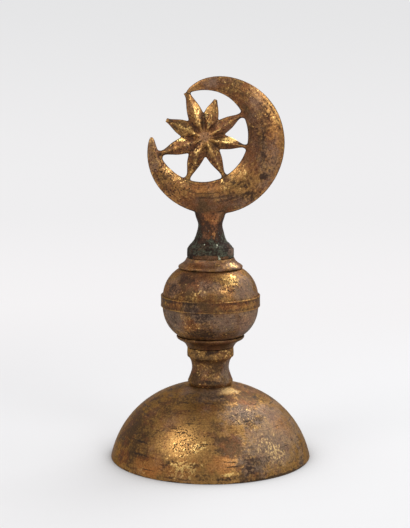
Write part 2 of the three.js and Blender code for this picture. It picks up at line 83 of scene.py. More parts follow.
class Wiring:
    """Adds nodes to one tree and links them."""

    def __init__(self, tree: bpy.types.NodeTree) -> None:
        """Starts on a tree."""
        self.tree = tree

    @staticmethod
    def blank(data: Material | bpy.types.World) -> "Wiring":
        """Empties the nodes of a new material or world.

        Args:
            data: The material or world.

        Returns:
            The wiring of its tree.
        """
        data.use_nodes = True
        data.node_tree.nodes.clear()
        return Wiring(data.node_tree)

    def add(self, kind: str, inputs: Inputs | None = None, **settings: object) -> bpy.types.Node:
        """Adds a node.

        Args:
            kind: The node's Blender class.
            inputs: Its inputs by name or place: each is a value, or a socket to link from.
            settings: Properties of the node itself.

        Returns:
            The new node.
        """
        node = self.tree.nodes.new(kind)
        for name, value in settings.items():
            setattr(node, name, value)
        for key, value in (inputs or {}).items():
            self.feed(node.inputs[key], value)
        return node

    def new(self, kind: str, inputs: Inputs | None = None, **settings: object) -> Socket:
        """Adds a node as add does, and returns its first output."""
        return self.add(kind, inputs, **settings).outputs[0]

    def feed(self, socket: Socket, value: object) -> None:
        """Links a socket to another, or sets it to a plain value.

        Args:
            socket: The socket.
            value: The value, or the socket to link from.
        """
        if isinstance(value, Socket):
            self.tree.links.new(value, socket)
        else:
            socket.default_value = value

    def math(self, operation: str, a: object, b: object = 0.0, clamp: bool = False) -> Socket:
        """Adds a Math node and returns its result, between 0 and 1 where clamp is set."""
        return self.new("ShaderNodeMath", {0: a, 1: b}, operation=operation, use_clamp=clamp)

    def times(self, a: object, b: object) -> Socket:
        """Returns one number times another."""
        return self.math("MULTIPLY", a, b)

    def rest(self, value: object) -> Socket:
        """Returns 1 less a number."""
        return self.math("SUBTRACT", 1.0, value)

    def total(self, parts: Sequence[tuple[object, float]], start: float = 0.0) -> Socket:
        """Adds up values, each times its own weight.

        Args:
            parts: The values with their weights.
            start: What is added to the sum.

        Returns:
            The sum's socket.
        """
        result: object = start
        for value, weight in parts:
            inputs = {0: value, 1: weight, 2: result}
            result = self.new("ShaderNodeMath", inputs, operation="MULTIPLY_ADD")
        return result

    def vector(self, operation: str, a: object, b: object = (0.0, 0.0, 0.0)) -> Socket:
        """Adds a Vector Math node and returns its vector."""
        return self.new("ShaderNodeVectorMath", {0: a, 1: b}, operation=operation)

    def scaled(self, vector: object, scale: object) -> Socket:
        """Returns a vector times a number."""
        return self.new("ShaderNodeVectorMath", {0: vector, "Scale": scale}, operation="SCALE")

    def ramp(self, value: object, low: object, high: object, start: object = 0.0,
             stop: object = 1.0) -> Socket:
        """Eases a value, and returns start where it is low or less and stop where it is high or more."""
        inputs = {"Value": value, 1: low, 2: high, 3: start, 4: stop}
        return self.new("ShaderNodeMapRange", inputs, interpolation_type="SMOOTHSTEP")

    def mix(self, factor: object, a: object, b: object) -> Socket:
        """Mixes two colours by a factor and returns the colour."""
        return self.add("ShaderNodeMix", {0: factor, 6: a, 7: b}, data_type="RGBA").outputs[2]

    def blend(self, factor: object, a: object, b: object) -> Socket:
        """Mixes two numbers by a factor and returns the number."""
        return self.new("ShaderNodeMix", {0: factor, 2: a, 3: b}, data_type="FLOAT")

    def noise(self, place: object, size: object, detail: float = 3.0, seed: object = 0.0,
              rough: float = 0.55) -> Socket:
        """Adds a noise texture.

        Args:
            place: Where it is read, in metres.
            size: The size of its largest features, in metres.
            detail: Its octaves.
            seed: Which of its patterns is used.
            rough: How strong the finer octaves are.

        Returns:
            Its value.
        """
        scale = self.math("DIVIDE", 1.0, size)
        return self.new("ShaderNodeTexNoise", {"Vector": place, "W": seed, "Scale": scale, "Detail": detail,
                                               "Roughness": rough}, noise_dimensions="4D")

    def surface(self, shader: Socket) -> None:
        """Gives a material its surface."""
        self.add("ShaderNodeOutputMaterial", {"Surface": shader})


class Group:
    """A node tree with named inputs and outputs, which is built once and used in many places."""

    def __init__(self, name: str, kind: str, inputs: Mapping[str, tuple[str, object]],
                 outputs: Mapping[str, str]) -> None:
        """Makes the tree and its sockets.

        Args:
            name: The tree's name.
            kind: ShaderNodeTree or GeometryNodeTree.
            inputs: Socket types and defaults by name.
            outputs: Socket types by name.
        """
        self.tree = bpy.data.node_groups.new(name, kind)
        for label, (socket_type, default) in inputs.items():
            socket = self.tree.interface.new_socket(label, in_out="INPUT", socket_type=socket_type)
            if default is not None:
                socket.default_value = default
        for label, socket_type in outputs.items():
            self.tree.interface.new_socket(label, in_out="OUTPUT", socket_type=socket_type)
        self.wiring = Wiring(self.tree)
        self.given = self.wiring.add("NodeGroupInput").outputs
        self.result = self.wiring.add("NodeGroupOutput").inputs

    def place(self, wiring: Wiring, inputs: Mapping[str, object]) -> bpy.types.bpy_prop_collection:
        """Places the group in another tree and returns its outputs."""
        kind = self.tree.bl_idname.replace("NodeTree", "NodeGroup")
        return wiring.add(kind, inputs, node_tree=self.tree).outputs


FLOAT = "NodeSocketFloat"
INT = "NodeSocketInt"
VECTOR = "NodeSocketVector"
COLOR = "NodeSocketColor"
GEOMETRY = "NodeSocketGeometry"
MATERIAL = "NodeSocketMaterial"


# Finishes

PIGMENTS = {
    "Bright Gold": srgb(250, 203, 126),
    "Old Gold": srgb(166, 125, 73),
    "Rose Gold": srgb(188, 122, 68),
    "Copper": srgb(122, 76, 46),
    "Patina": srgb(92, 68, 46),
    "Soot": srgb(42, 29, 22),
    "Dust": srgb(132, 113, 99),
    "Verdigris": srgb(82, 86, 70),
}
SLANTED_TINT = srgb(172, 168, 164)


@dataclass(frozen=True)
class Patch:
    """A soft-edged patch on one place of the metal, and what it adds to the finish's effects or takes.

    Attributes:
        centre: Its centre in mm.
        radii: Its half sizes along X, Y and Z in mm.
    """

    centre: Place
    radii: Place
    gilding: float = 0.0
    flakes: float = 0.0
    grime: float = 0.0
    pits: float = 0.0
    haze: float = 0.0
    redness: float = 0.0
    crust: float = 0.0


@dataclass(frozen=True)
class PaintedShadeLine:
    """A dark line painted along the crescent's arm, where its ridge turns from the light: painted shade.

    Attributes:
        level: How far across the arm it runs, in mm of an arm 20 mm wide.
        centre: The middle of the stretch where it shows, in mm.
        radii: The half sizes of that stretch in mm.
    """

    level: float
    centre: Place
    radii: Place


class Effect(Enum):
    """What the aged metal has more or less of, by the name of its input in the node group."""

    GILDING = "Gilding"
    FLAKES = "Flakes"
    GRIME = "Grime"
    PITS = "Pits"
    HAZE = "Haze"
    REDNESS = "Redness"
    CRUST = "Crust"

    def of(self, levels: "GiltFinish | Patch") -> float:
        """Returns how much of it a finish or a patch has."""
        return getattr(levels, self.value.lower())


class SurfaceEffects:
    """The shader node groups that the finishes share."""

    def __init__(self) -> None:
        """Builds each group."""
        self.ragged = self._ragged()
        self.patch = self._patch()
        self.tool_lines = self._tool_lines()
        self.aging = self._aging()

    def mask(self, w: Wiring, place: object, offset: object, where: Patch | PaintedShadeLine) -> Socket:
        """Places the mask of a patch or of the stretch where a painted shade line shows.

        Args:
            w: The material's wiring.
            place: The place on the object.
            offset: How ragged its outline is.
            where: The patch or the painted shade line.

        Returns:
            The mask.
        """
        centre, radii = ([value * MM for value in row] for row in (where.centre, where.radii))
        inputs = {"Vector": place, "Offset": offset, "Centre": centre, "Radii": radii}
        return self.patch.place(w, inputs)["Mask"]

    def _ragged(self) -> Group:
        """Builds the group that makes the outlines of patches ragged.

        Returns:
            The group.
        """
        group = Group("Ragged outline", "ShaderNodeTree",
                      {"Vector": (VECTOR, None), "Size": (FLOAT, 7 * MM), "Amount": (FLOAT, 2.2)},
                      {"Offset": VECTOR})
        w, given = group.wiring, group.given
        noise = w.noise(given["Vector"], given["Size"], detail=5.0, rough=0.65).node.outputs["Color"]
        centred = w.vector("SUBTRACT", noise, (0.5, 0.5, 0.5))
        w.feed(group.result["Offset"], w.scaled(centred, given["Amount"]))
        return group

    def _patch(self) -> Group:
        """Builds the group that gives the mask of one patch.

        Returns:
            The group.
        """
        group = Group("Patch", "ShaderNodeTree",
                      {"Vector": (VECTOR, None), "Offset": (VECTOR, None), "Centre": (VECTOR, None),
                       "Radii": (VECTOR, (1, 1, 1))},
                      {"Mask": FLOAT})
        w, given = group.wiring, group.given
        away = w.vector("DIVIDE", w.vector("SUBTRACT", given["Vector"], given["Centre"]), given["Radii"])
        away = w.vector("ADD", away, given["Offset"])
        length = w.add("ShaderNodeVectorMath", {0: away}, operation="LENGTH").outputs["Value"]
        w.feed(group.result["Mask"], w.ramp(length, 1.15, 0.45))
        return group

    def _tool_lines(self) -> Group:
        """Builds the group of the fine lines that turning and filing leave, and of a line of painted shade
        along the arm.

        Returns:
            The group.
        """
        group = Group("Tool lines", "ShaderNodeTree",
                      {"Vector": (VECTOR, None), "Level": (FLOAT, 0.0), "Pitch": (FLOAT, 1.1 * MM),
                       "PaintedShadeLine": (FLOAT, -1.0)},
                      {"Lines": FLOAT, "Scratches": FLOAT, "PaintedShadeLine": FLOAT})
        w, given = group.wiring, group.given
        place = given["Vector"]
        sway = w.noise(place, 0.03, detail=1.0)
        level = w.new("ShaderNodeCombineXYZ", {2: w.total([(sway, 0.0006)], given["Level"])})
        drawn = w.vector("ADD", level, w.scaled(place, 0.06))
        w.feed(group.result["Lines"], w.noise(drawn, given["Pitch"], detail=2.0, seed=3.0))
        dashed = w.vector("ADD", level, w.scaled(place, 0.09))
        cuts = w.noise(dashed, 0.0011, detail=3.0, seed=8.0)
        w.feed(group.result["Scratches"], w.ramp(cuts, 0.62, 0.70))
        # A line of painted shade along the arm, at the level that is given
        wave = w.noise(place, 0.006, detail=3.0, seed=4.0)
        along = w.total([(w.math("SUBTRACT", wave, 0.5), 0.004)], given["Level"])
        beside = w.math("ABSOLUTE", w.math("SUBTRACT", along, given["PaintedShadeLine"]))
        w.feed(group.result["PaintedShadeLine"], w.ramp(beside, 0.0008, 0.0002))
        return group

    def _aging(self) -> Group:
        """Builds the group that mixes worn gilding, patina, grime, haze and crust.

        Returns:
            The group.
        """
        inputs = {"Vector": (VECTOR, None), "Relief": (FLOAT, 0.0), "Lines": (FLOAT, 0.5),
                  "Scratches": (FLOAT, 0.0), "Mottle Size": (FLOAT, 5 * MM), "Fleck Size": (FLOAT, 1.4 * MM)}
        inputs |= {effect.value: (FLOAT, 0.3) for effect in Effect}
        inputs |= {name: (COLOR, None) for name in PIGMENTS}
        group = Group("Aged gilding", "ShaderNodeTree", inputs,
                      {"Color": COLOR, "Metallic": FLOAT, "Roughness": FLOAT, "Height": FLOAT})
        w, given = group.wiring, group.given
        place, relief, lines = given["Vector"], given["Relief"], given["Lines"]

        # The patterns, from the widest to the finest
        cloud = w.noise(place, 0.018, detail=2.0, seed=1.0)
        film = w.noise(place, 0.011, detail=5.0, seed=6.0, rough=0.6)
        mottle = w.noise(place, given["Mottle Size"], detail=3.0, seed=2.0)
        stain = w.noise(place, given["Mottle Size"], detail=4.0, seed=5.0, rough=0.65)
        fleck = w.noise(place, given["Fleck Size"], detail=3.0, seed=3.0, rough=0.6)
        holes = w.noise(place, 0.0010, detail=1.0, seed=9.0)
        fine = w.noise(place, 0.0008, detail=1.0, seed=12.0)
        grain = w.noise(place, 0.0005, detail=2.0, seed=7.0)

        # Where each layer lies
        gilt = w.ramp(w.total([(cloud, 0.28), (mottle, 0.30), (fleck, 0.42), (given["Gilding"], 0.36),
                               (relief, 0.12), (lines, 0.22)], -0.29), 0.41, 0.59)
        flakes = w.ramp(w.total([(mottle, 0.22), (fleck, 0.78), (given["Flakes"], 0.30), (relief, 0.10)],
                                -0.15), 0.54, 0.64)
        soot = w.ramp(w.total([(stain, 0.40), (fleck, -0.38), (cloud, 0.22), (given["Grime"], 0.34),
                               (relief, -0.12), (lines, -0.14)], 0.28), 0.475, 0.66)
        pits = w.ramp(w.total([(holes, 0.8), (stain, 0.2), (given["Pits"], 0.22)], -0.11), 0.585, 0.65)
        dark = w.math("MAXIMUM", w.times(soot, 0.86), w.times(pits, 0.85))
        # On the casting the Scratches input also carries the painted shade lines along the arm
        dark = w.math("MAXIMUM", dark, w.times(given["Scratches"], 0.6))
        dusty = w.ramp(w.total([(film, 0.6), (grain, 0.4), (given["Haze"], 0.36)], -0.18), 0.44, 0.64)
        crust = w.ramp(w.total([(mottle, 0.35), (fleck, 0.35), (grain, 0.30), (given["Crust"], 0.5),
                                (relief, -0.05)], -0.25), 0.55, 0.63)
        red = w.ramp(w.total([(film, 0.5), (stain, 0.5), (given["Redness"], 0.36)], -0.18), 0.40, 0.60)

        # Their colours, from the bare metal outwards
        rose = w.math("MULTIPLY", red, w.times(given["Redness"], 0.6), clamp=True)
        gold = w.mix(rose, given["Old Gold"], given["Rose Gold"])
        colour = w.mix(gilt, w.mix(red, given["Patina"], given["Copper"]), gold)
        colour = w.mix(flakes, colour, given["Bright Gold"])
        colour = w.mix(w.times(dusty, 0.5), colour, given["Dust"])
        colour = w.mix(dark, colour, given["Soot"])
        deep = w.ramp(w.total([(stain, 0.5), (fleck, 0.5)]), 0.41, 0.55)
        colour = w.mix(crust, colour, w.mix(deep, given["Verdigris"], given["Soot"]))
        shade = w.ramp(w.total([(fine, 0.6), (grain, 0.4)]), 0.34, 0.66, 0.68, 1.28)
        w.feed(group.result["Color"], w.scaled(colour, shade))

        metallic = w.times(w.blend(w.math("MAXIMUM", gilt, flakes), 0.75, 1.0), w.rest(w.times(dark, 0.7)))
        metallic = w.times(metallic, w.rest(w.times(dusty, 0.3)))
        w.feed(group.result["Metallic"], w.times(metallic, w.rest(crust)))
        w.feed(group.result["Roughness"], w.total([
            (gilt, -0.08), (flakes, -0.08), (dusty, 0.08), (dark, 0.16), (crust, 0.3), (grain, 0.16)], 0.40))
        w.feed(group.result["Height"], w.total([
            (pits, -0.6), (soot, -0.2), (flakes, 0.15), (crust, 0.9), (grain, 0.35), (fleck, 0.5),
            (lines, 0.25), (given["Scratches"], -0.35)]))
        return group


@dataclass(frozen=True)
class GiltFinish:
    """Fire-gilt copper that has aged.

    Attributes:
        name: The material's name.
        gilding: How much gilding is left, from 0 to 1.
        flakes: How much of it is rubbed bright.
        grime: How much dark dirt lies on it.
        pits: How many small dark pits it has.
        haze: How much dull grey film.
        redness: How much bare copper shows in the patina.
        crust: How much green corrosion.
        fleck: The size of its specks in mm.
        lines: How strong the tool's lines are.
        along_arm: Whether they follow the crescent's arm instead of lying level.
        edges: How much its edges are rubbed bright and its corners filled with dirt; on the casting it also
            scales the painted shade on its side faces.
        bump: How deep its texture is, in mm.
        painted_shade_lines: Dark lines painted along the arm where its ridge turns from the light: painted
            shade.
        patches: The places that differ.
    """

    name: str
    gilding: float = 0.5
    flakes: float = 0.3
    grime: float = 0.3
    pits: float = 0.3
    haze: float = 0.3
    redness: float = 0.4
    crust: float = 0.0
    fleck: float = 1.4
    lines: float = 0.0
    along_arm: bool = False
    edges: float = 1.0
    bump: float = 0.18
    painted_shade_lines: tuple[PaintedShadeLine, ...] = ()
    patches: tuple[Patch, ...] = ()

    SHADE_LINE_RAGGED = 0.3

    def material(self, effects: SurfaceEffects) -> Material:
        """Builds the material.

        Args:
            effects: The shared node groups.

        Returns:
            The material.
        """
        material = bpy.data.materials.new(self.name)
        w = Wiring.blank(material)
        place = w.add("ShaderNodeTexCoord").outputs["Object"]
        ragged = effects.ragged.place(w, {"Vector": place})["Offset"]
        inputs: dict[str, object] = {"Vector": place, "Fleck Size": self.fleck * MM, **PIGMENTS}
        masks = [(effects.mask(w, place, ragged, patch), patch) for patch in self.patches]
        for effect in Effect:
            parts = [(mask, effect.of(patch)) for mask, patch in masks if effect.of(patch)]
            inputs[effect.value] = w.total(parts, effect.of(self)) if parts else effect.of(self)
        relief = w.add("ShaderNodeAttribute", attribute_name=Worked.RELIEF).outputs["Fac"]
        inputs["Relief"] = w.times(relief, self.edges)
        if self.lines:
            self._draw_lines(w, effects, place, ragged, inputs)
        aged = effects.aging.place(w, inputs)
        bump = w.new("ShaderNodeBump", {
            "Strength": 0.6, "Distance": self.bump * MM, "Height": aged["Height"]})
        w.surface(w.new("ShaderNodeBsdfPrincipled", {
            "Base Color": aged["Color"], "Metallic": aged["Metallic"], "Specular Tint": SLANTED_TINT,
            "Roughness": aged["Roughness"], "Normal": bump,
        }))
        return material

    def _draw_lines(self, w: Wiring, effects: SurfaceEffects, place: Socket, ragged: Socket,
                    inputs: dict[str, object]) -> None:
        """Adds the tool's lines and the painted shade lines along the arm to the inputs of the aging group.

        Args:
            w: The material's wiring.
            effects: The shared node groups.
            place: The place on the object.
            ragged: How ragged the patches are.
            inputs: The inputs, which get their Lines, and their Scratches with the painted shade lines in
                them.
        """
        level = w.add("ShaderNodeSeparateXYZ", {0: place}).outputs[2]
        if self.along_arm:
            level = w.add("ShaderNodeAttribute", attribute_name=Worked.LEVEL).outputs["Fac"]
        lines = effects.tool_lines.place(w, {"Vector": place, "Level": level})
        inputs["Lines"] = w.blend(self.lines, 0.5, lines["Lines"])
        scratches_and_shade_lines = w.times(lines["Scratches"], self.lines)
        # Painted shade: dark lines where the arm's ridge turns from the light
        for shade_line in self.painted_shade_lines:
            shown = effects.mask(w, place, w.scaled(ragged, self.SHADE_LINE_RAGGED), shade_line)
            shade_line_mask = effects.tool_lines.place(w, {
                "Vector": place, "Level": level, "PaintedShadeLine": shade_line.level * MM})["PaintedShadeLine"]
            scratches_and_shade_lines = w.math("MAXIMUM", scratches_and_shade_lines, w.times(shade_line_mask, shown))
        inputs["Scratches"] = scratches_and_shade_lines


DOME_MARKS = (
    # More gilding and bright flakes where the front-left lamp's highlight falls: partly real gilding, partly
    # a painted highlight
    Patch((-15.7, -48.8, 19.6), (15.5, 14.5, 11.9), gilding=0.35),
    Patch((-17.4, -49.4, 18), (13.8, 12.1, 9.9), flakes=0.3),
    Patch((-14, -47.6, 22.2), (15, 13.3, 10.8), pits=0.45),
    Patch((-15.6, -54.6, 9.7), (14.5, 6.1, 3), flakes=0.4),
    Patch((-15.6, -54.6, 7.7), (14.5, 6.1, 7), redness=0.35),
    Patch((-11.1, -57.1, 5.9), (3.4, 3, 6.5), flakes=0.5),
    Patch((-18.6, -55.5, 5), (6, 4, 5), flakes=0.4),
    Patch((-14.5, -56.6, 5.6), (15.6, 8.5, 8.7), gilding=0.2),
    Patch((-25.9, -51.7, 7.1), (4.2, 3, 3.6), grime=0.5),
    Patch((-4.4, -58.6, 4), (6.1, 3, 2.8), grime=0.5),
    Patch((-15, -57, 6.6), (9, 6, 1), grime=0.5),
    Patch((-16, -57, 2), (13, 6, 1.2), grime=0.5),
    Patch((-36.9, -44.9, 6.2), (11.7, 11.7, 6), redness=0.6),
    Patch((-36.9, -44.9, 5), (11.7, 11.7, 4.8), gilding=0.3),
    Patch((-36.9, -44.9, 4), (11.7, 11.7, 3), flakes=0.25),
    Patch((6.3, -56.2, 10.2), (9.5, 4.1, 7.5), redness=0.55),
    Patch((6.3, -56.2, 9.2), (9.5, 4, 5.8), gilding=0.1),
    Patch((-21.9, -52.2, 10.2), (10, 5, 1.6), grime=0.55),
    Patch((-8.3, -56.2, 9.6), (6.5, 3, 1.8), grime=0.45),
    Patch((-40.6, -38.8, 11.1), (9, 9.5, 0.8), grime=0.6),
    Patch((-40.8, -33.3, 17.5), (9, 9.8, 0.7), grime=0.5),
    Patch((-2.7, -50.7, 20.5), (7.9, 2, 0.5), grime=0.5),
    Patch((-37.3, -20.3, 29.6), (5.7, 7.7, 0.7), grime=0.35),
    Patch((6.3, -53.8, 15.3), (11.3, 2.3, 0.7), grime=0.3),
    Patch((24, -52.4, 8), (11, 9.5, 9.5), grime=0.32),
    Patch((24, -52.4, 8), (12, 9.5, 11.5), gilding=-0.3),
    Patch((24, -52.4, 8), (10, 9.5, 9.5), flakes=-0.2),
    Patch((20, -53.4, 5.6), (7, 7.5, 7), grime=0.25),
    Patch((26, -49.9, 12), (16, 14, 15), haze=0.4),
    Patch((38, -41.3, 10.7), (9.5, 9.5, 8.5), flakes=0.38),
    Patch((30, -42.3, 20), (12, 10.5, 9.5), flakes=0.25),
    Patch((33, -43, 14.3), (15, 13, 11), grime=0.15),
    Patch((32.9, -39.2, 19.8), (16.7, 15.1, 11.7), haze=0.55),
    Patch((16.9, -34.1, 33.2), (13.8, 13.4, 8.1), haze=0.55),
    Patch((19.8, -34.8, 31.6), (14.9, 14.7, 8), pits=0.4),
    Patch((20.4, -33.3, 31.6), (12.2, 14.8, 9.4), flakes=0.24),
    Patch((42.5, -22.2, 24), (12.3, 12.1, 8.6), redness=0.3),
    Patch((42.1, -24.8, 22.1), (22, 30, 24), haze=0.45),
    Patch((-44, -26, 22), (16, 26, 22), gilding=-0.3, haze=-0.1),
    Patch((-44, -24, 24), (16, 26, 20), grime=0.07),
    Patch((12, -50.1, 19.4), (9.5, 6.6, 8.3), gilding=-0.35, flakes=-0.3),
    Patch((12, -50.1, 19.4), (7.3, 4.8, 6.1), grime=0.2),
    Patch((-6.1, -51.3, 19.2), (7.3, 4.2, 5.5), gilding=0.25),
    Patch((-6.1, -51.3, 19.2), (6.7, 3.8, 4.8), flakes=0.3),
    Patch((53, -20, 16), (12, 26, 22), grime=0.3, flakes=-0.3),
    Patch((22, -28, 34), (22, 18, 12), gilding=-0.18),
    Patch((22, -19, 38.6), (9, 10, 4.6), gilding=-0.25, flakes=-0.2),
    Patch((33, -38, 20), (14, 14, 10), flakes=0.12),
    # Darker in front of the neck's foot: partly dirt and crust, partly a painted shadow of the neck
    Patch((-4.4, -20.9, 41.2), (21, 13.5, 5.6), grime=0.35),
    Patch((-6, -18, 42), (20, 14, 6), haze=0.3),
    Patch((0.8, -25.5, 39.9), (13.3, 9.6, 4.8), grime=0.15),
    Patch((26, 40, 18), (24, 18, 12), grime=0.3),
    Patch((26, 40, 18), (26, 20, 14), haze=0.4),
    Patch((-30, 34, 26), (20, 18, 12), gilding=-0.25),
    Patch((4, 18, 41.8), (10, 7, 4), crust=0.55),
    Patch((-0.9, -19.4, 41.6), (8.5, 6.5, 3.6), crust=0.62),
    Patch((-15, -27, 37.6), (4.5, 4.5, 2.6), grime=0.3),
    Patch((8.5, -57.9, 5), (6.2, 2, 1.3), flakes=0.8),
    Patch((8.5, -57.7, 5.5), (6.8, 2, 1.6), gilding=0.5),
    Patch((6.3, -58.8, 2.6), (8.4, 2, 1.2), grime=0.6),
    Patch((-46.2, -19.5, 21.5), (6.3, 14.7, 4.1), grime=0.25),
    Patch((-51.8, -26, 6.4), (8.2, 10.4, 5.9), redness=0.35),
    Patch((-34.5, -47.5, 4), (12, 10.1, 3.7), redness=0.45, gilding=0.2),
    Patch((52.3, -27.3, 3.2), (6.5, 8.7, 4.9), grime=0.25),
    # Painted highlight: brighter, cleaner gold on the crown right of the neck, where a lamp's highlight falls
    Patch((9.8, -13.5, 43), (8, 7, 3.8), flakes=0.9),
    Patch((9.8, -13.5, 43), (8.5, 7.5, 4), gilding=0.6, haze=0.5),
    Patch((9.8, -13.5, 43), (7.5, 6.5, 3.4), grime=-0.5),
    # Painted shadow: darker along the lower edge of the rim, most at the right and front, for the shade in
    # the gap under the rim
    Patch((36, -44, -0.6), (44, 36, 2.2), grime=1.5),
    Patch((-20, -52, -0.8), (44, 30, 1.8), grime=1.0),
)
DOME_GILDING = GiltFinish(
    "dome gilding", gilding=0.5, flakes=0.13, grime=0.27, pits=0.27, haze=0.32, redness=0.4, lines=1.5,
    patches=DOME_MARKS)
NECK_MARKS = (
    Patch((9.3, -6.4, 52.2), (3.7, 3.6, 7.8), grime=0.15),
    # Greyer haze on the right side: partly real haze, partly painted cool light from the right
    Patch((9.3, -7.4, 52.2), (5, 7.6, 10), haze=0.5),
    Patch((-4.4, -10.2, 53), (5.4, 5.5, 6.4), flakes=0.25),
    Patch((-3.9, -10.4, 53.1), (6, 6.1, 7), gilding=0.2),
    Patch((-0.3, -13.1, 47.1), (10.7, 5.3, 1.3), grime=0.5),
)
NECK_PATINA = GiltFinish(
    "neck patina", gilding=0.42, flakes=0.28, grime=0.38, pits=0.35, haze=0.35, patches=NECK_MARKS)
RING_MARKS = (
    Patch((2, -13.7, 65.9), (6, 2.4, 2.6), grime=0.5),
    Patch((-8.6, -10.9, 64.7), (5.3, 2.6, 2.5), flakes=0.25),
    Patch((9.2, -10.4, 64.6), (4.3, 6.9, 2.5), flakes=0.25),
)
RING_PATINA = GiltFinish(
    "ring patina", gilding=0.4, flakes=0.25, grime=0.45, pits=0.35, patches=RING_MARKS)
LOWER_CUP_GILDING = GiltFinish("lower cup gilding", gilding=0.3, flakes=0.15, grime=0.5, pits=0.3, edges=0.4)
LOWER_BALL_MARKS = (
    Patch((-5.8, -27.7, 89.6), (11, 6, 5.6), grime=0.38),
    Patch((-6.1, -27.7, 89.9), (10.3, 5.9, 5.7), haze=0.5, flakes=-0.25),
    Patch((-4.2, -24.1, 78.3), (14, 6.3, 4), grime=0.45),
    Patch((20.1, -18.4, 84.1), (5, 9.5, 5.7), redness=0.6),
    # Greyer haze on the right side: partly real haze, partly painted cool light from the right
    Patch((21.7, -14.8, 86.4), (9, 14, 12), haze=0.6),
    Patch((8.3, -26, 84.4), (10.6, 6.8, 7.4), crust=0.22),
    Patch((8.3, -26, 84.4), (10.6, 7.3, 8.2), haze=0.3),
    Patch((-13.1, -24.3, 84.2), (8.1, 7.1, 4.9), redness=0.4),
    Patch((-13.1, -24.3, 84.2), (7.1, 6.1, 3.9), flakes=0.12),
    Patch((-12.5, -24.7, 84.2), (8.1, 6.3, 5), gilding=0.08),
    Patch((-22.5, -16.7, 86.7), (4.7, 5.1, 4), grime=0.2),
    Patch((-21.7, -14.8, 86.4), (9, 14, 12), haze=0.6, grime=0.12),
    Patch((20, 16, 84), (12, 12, 7), grime=0.3),
)
LOWER_BALL_PATINA = GiltFinish(
    "lower ball patina", gilding=0.24, flakes=0.2, grime=0.5, pits=0.45, haze=0.4, crust=0.12, fleck=1.2,
    lines=0.8, patches=LOWER_BALL_MARKS)
GIRDLE_MARKS = (
    Patch((-10.6, -27.6, 93.6), (6, 6.2, 4.8), grime=0.33, haze=0.4),
    Patch((14, -26.1, 95.5), (12, 12, 2.4), redness=0.3),
    Patch((-20.6, -21.2, 95.2), (7.4, 11.5, 2.9), redness=0.3),
    Patch((-24, -17.2, 95.2), (10, 14, 4), grime=0.2),
)
# The strong edge effect gives the band bright edges, the top one most in sight: partly rubbed gilding, partly
# a painted highlight where the ledge catches the light
GIRDLE_GILDING = GiltFinish(
    "girdle gilding", gilding=0.27, flakes=0.1, grime=0.48, pits=0.4, edges=2.6, patches=GIRDLE_MARKS)
UPPER_BALL_MARKS = (
    # Bright flakes and gilding on the ball's upper right, where the lamp's highlight falls: partly real
    # gilding, partly a painted highlight
    Patch((11.8, -20.3, 109.7), (6.5, 6.1, 5.2), flakes=0.4),
    Patch((11.8, -20.3, 109.7), (7.1, 6.7, 5.8), gilding=0.3),
    Patch((-6.5, -26.5, 102.8), (5, 4.8, 4.4), flakes=0.3),
    Patch((-6.5, -26.5, 102.8), (5.5, 5.5, 4.9), gilding=0.2),
    Patch((-17, -20, 106), (13, 12, 12), grime=0.3),
    Patch((-10, -22, 108), (14, 12, 8), gilding=-0.3, grime=0.12),
    Patch((0, -27, 106), (8, 7, 5), haze=0.3),
    Patch((-2, -27, 105), (12, 8, 8), grime=0.1),
    Patch((-22.5, -15.4, 103.1), (7.1, 7.5, 6.5), redness=0.5),
    Patch((-22.5, -14, 103.1), (8, 12, 11), haze=0.4),
    Patch((-22.5, -17.2, 98.7), (8, 12, 9), grime=0.25),
    Patch((-6, 24, 104), (15, 10, 8), grime=0.3),
    Patch((1.9, -26.6, 104.8), (8.1, 5.2, 3.9), grime=0.18),
    # Greyer haze on the right side: partly real haze, partly painted cool light from the right
    Patch((20.8, -16.7, 104.7), (9, 14, 12), haze=0.6),
    Patch((8.3, -23.8, 107.3), (12.9, 8.7, 7.6), pits=0.35),
    Patch((-14.9, -18.5, 109.5), (5.3, 6.3, 4.2), grime=0.2),
)
UPPER_BALL_GILDING = GiltFinish(
    "upper ball gilding", gilding=0.38, flakes=0.17, grime=0.38, pits=0.4, redness=0.5,
    patches=UPPER_BALL_MARKS)
UPPER_CUP_MARKS = (
    Patch((12.5, -10.5, 117.1), (6.4, 5, 2.6), flakes=0.6),
    Patch((12.5, -10.5, 117.1), (6.4, 4.7, 2.5), gilding=0.35),
    # Paler, greyer on the right side: partly real haze, partly painted cool light from the right
    Patch((14, -10.5, 117.1), (9, 8, 4), haze=0.25, grime=-0.28),
    Patch((-9.1, -13.8, 117), (8.3, 8.6, 2.6), redness=0.3),
)
UPPER_CUP_GILDING = GiltFinish(
    "upper cup gilding", gilding=0.38, flakes=0.22, grime=0.36, pits=0.35, haze=0.5, redness=0.5,
    patches=UPPER_CUP_MARKS)
GREEN_RING_MARKS = (
    Patch((12.5, -7, 124.3), (2.5, 8, 2.4), crust=-0.45),
    Patch((12, -7, 124.3), (3.6, 9.9, 2.9), haze=0.6),
    Patch((0, -12, 121.4), (16, 8, 2), crust=-0.5, grime=-0.2),
)
RING_VERDIGRIS = GiltFinish(
    "ring verdigris", gilding=0.0, flakes=-0.4, grime=0.6, haze=0.4, crust=0.8, edges=0.3, bump=0.4,
    patches=GREEN_RING_MARKS)
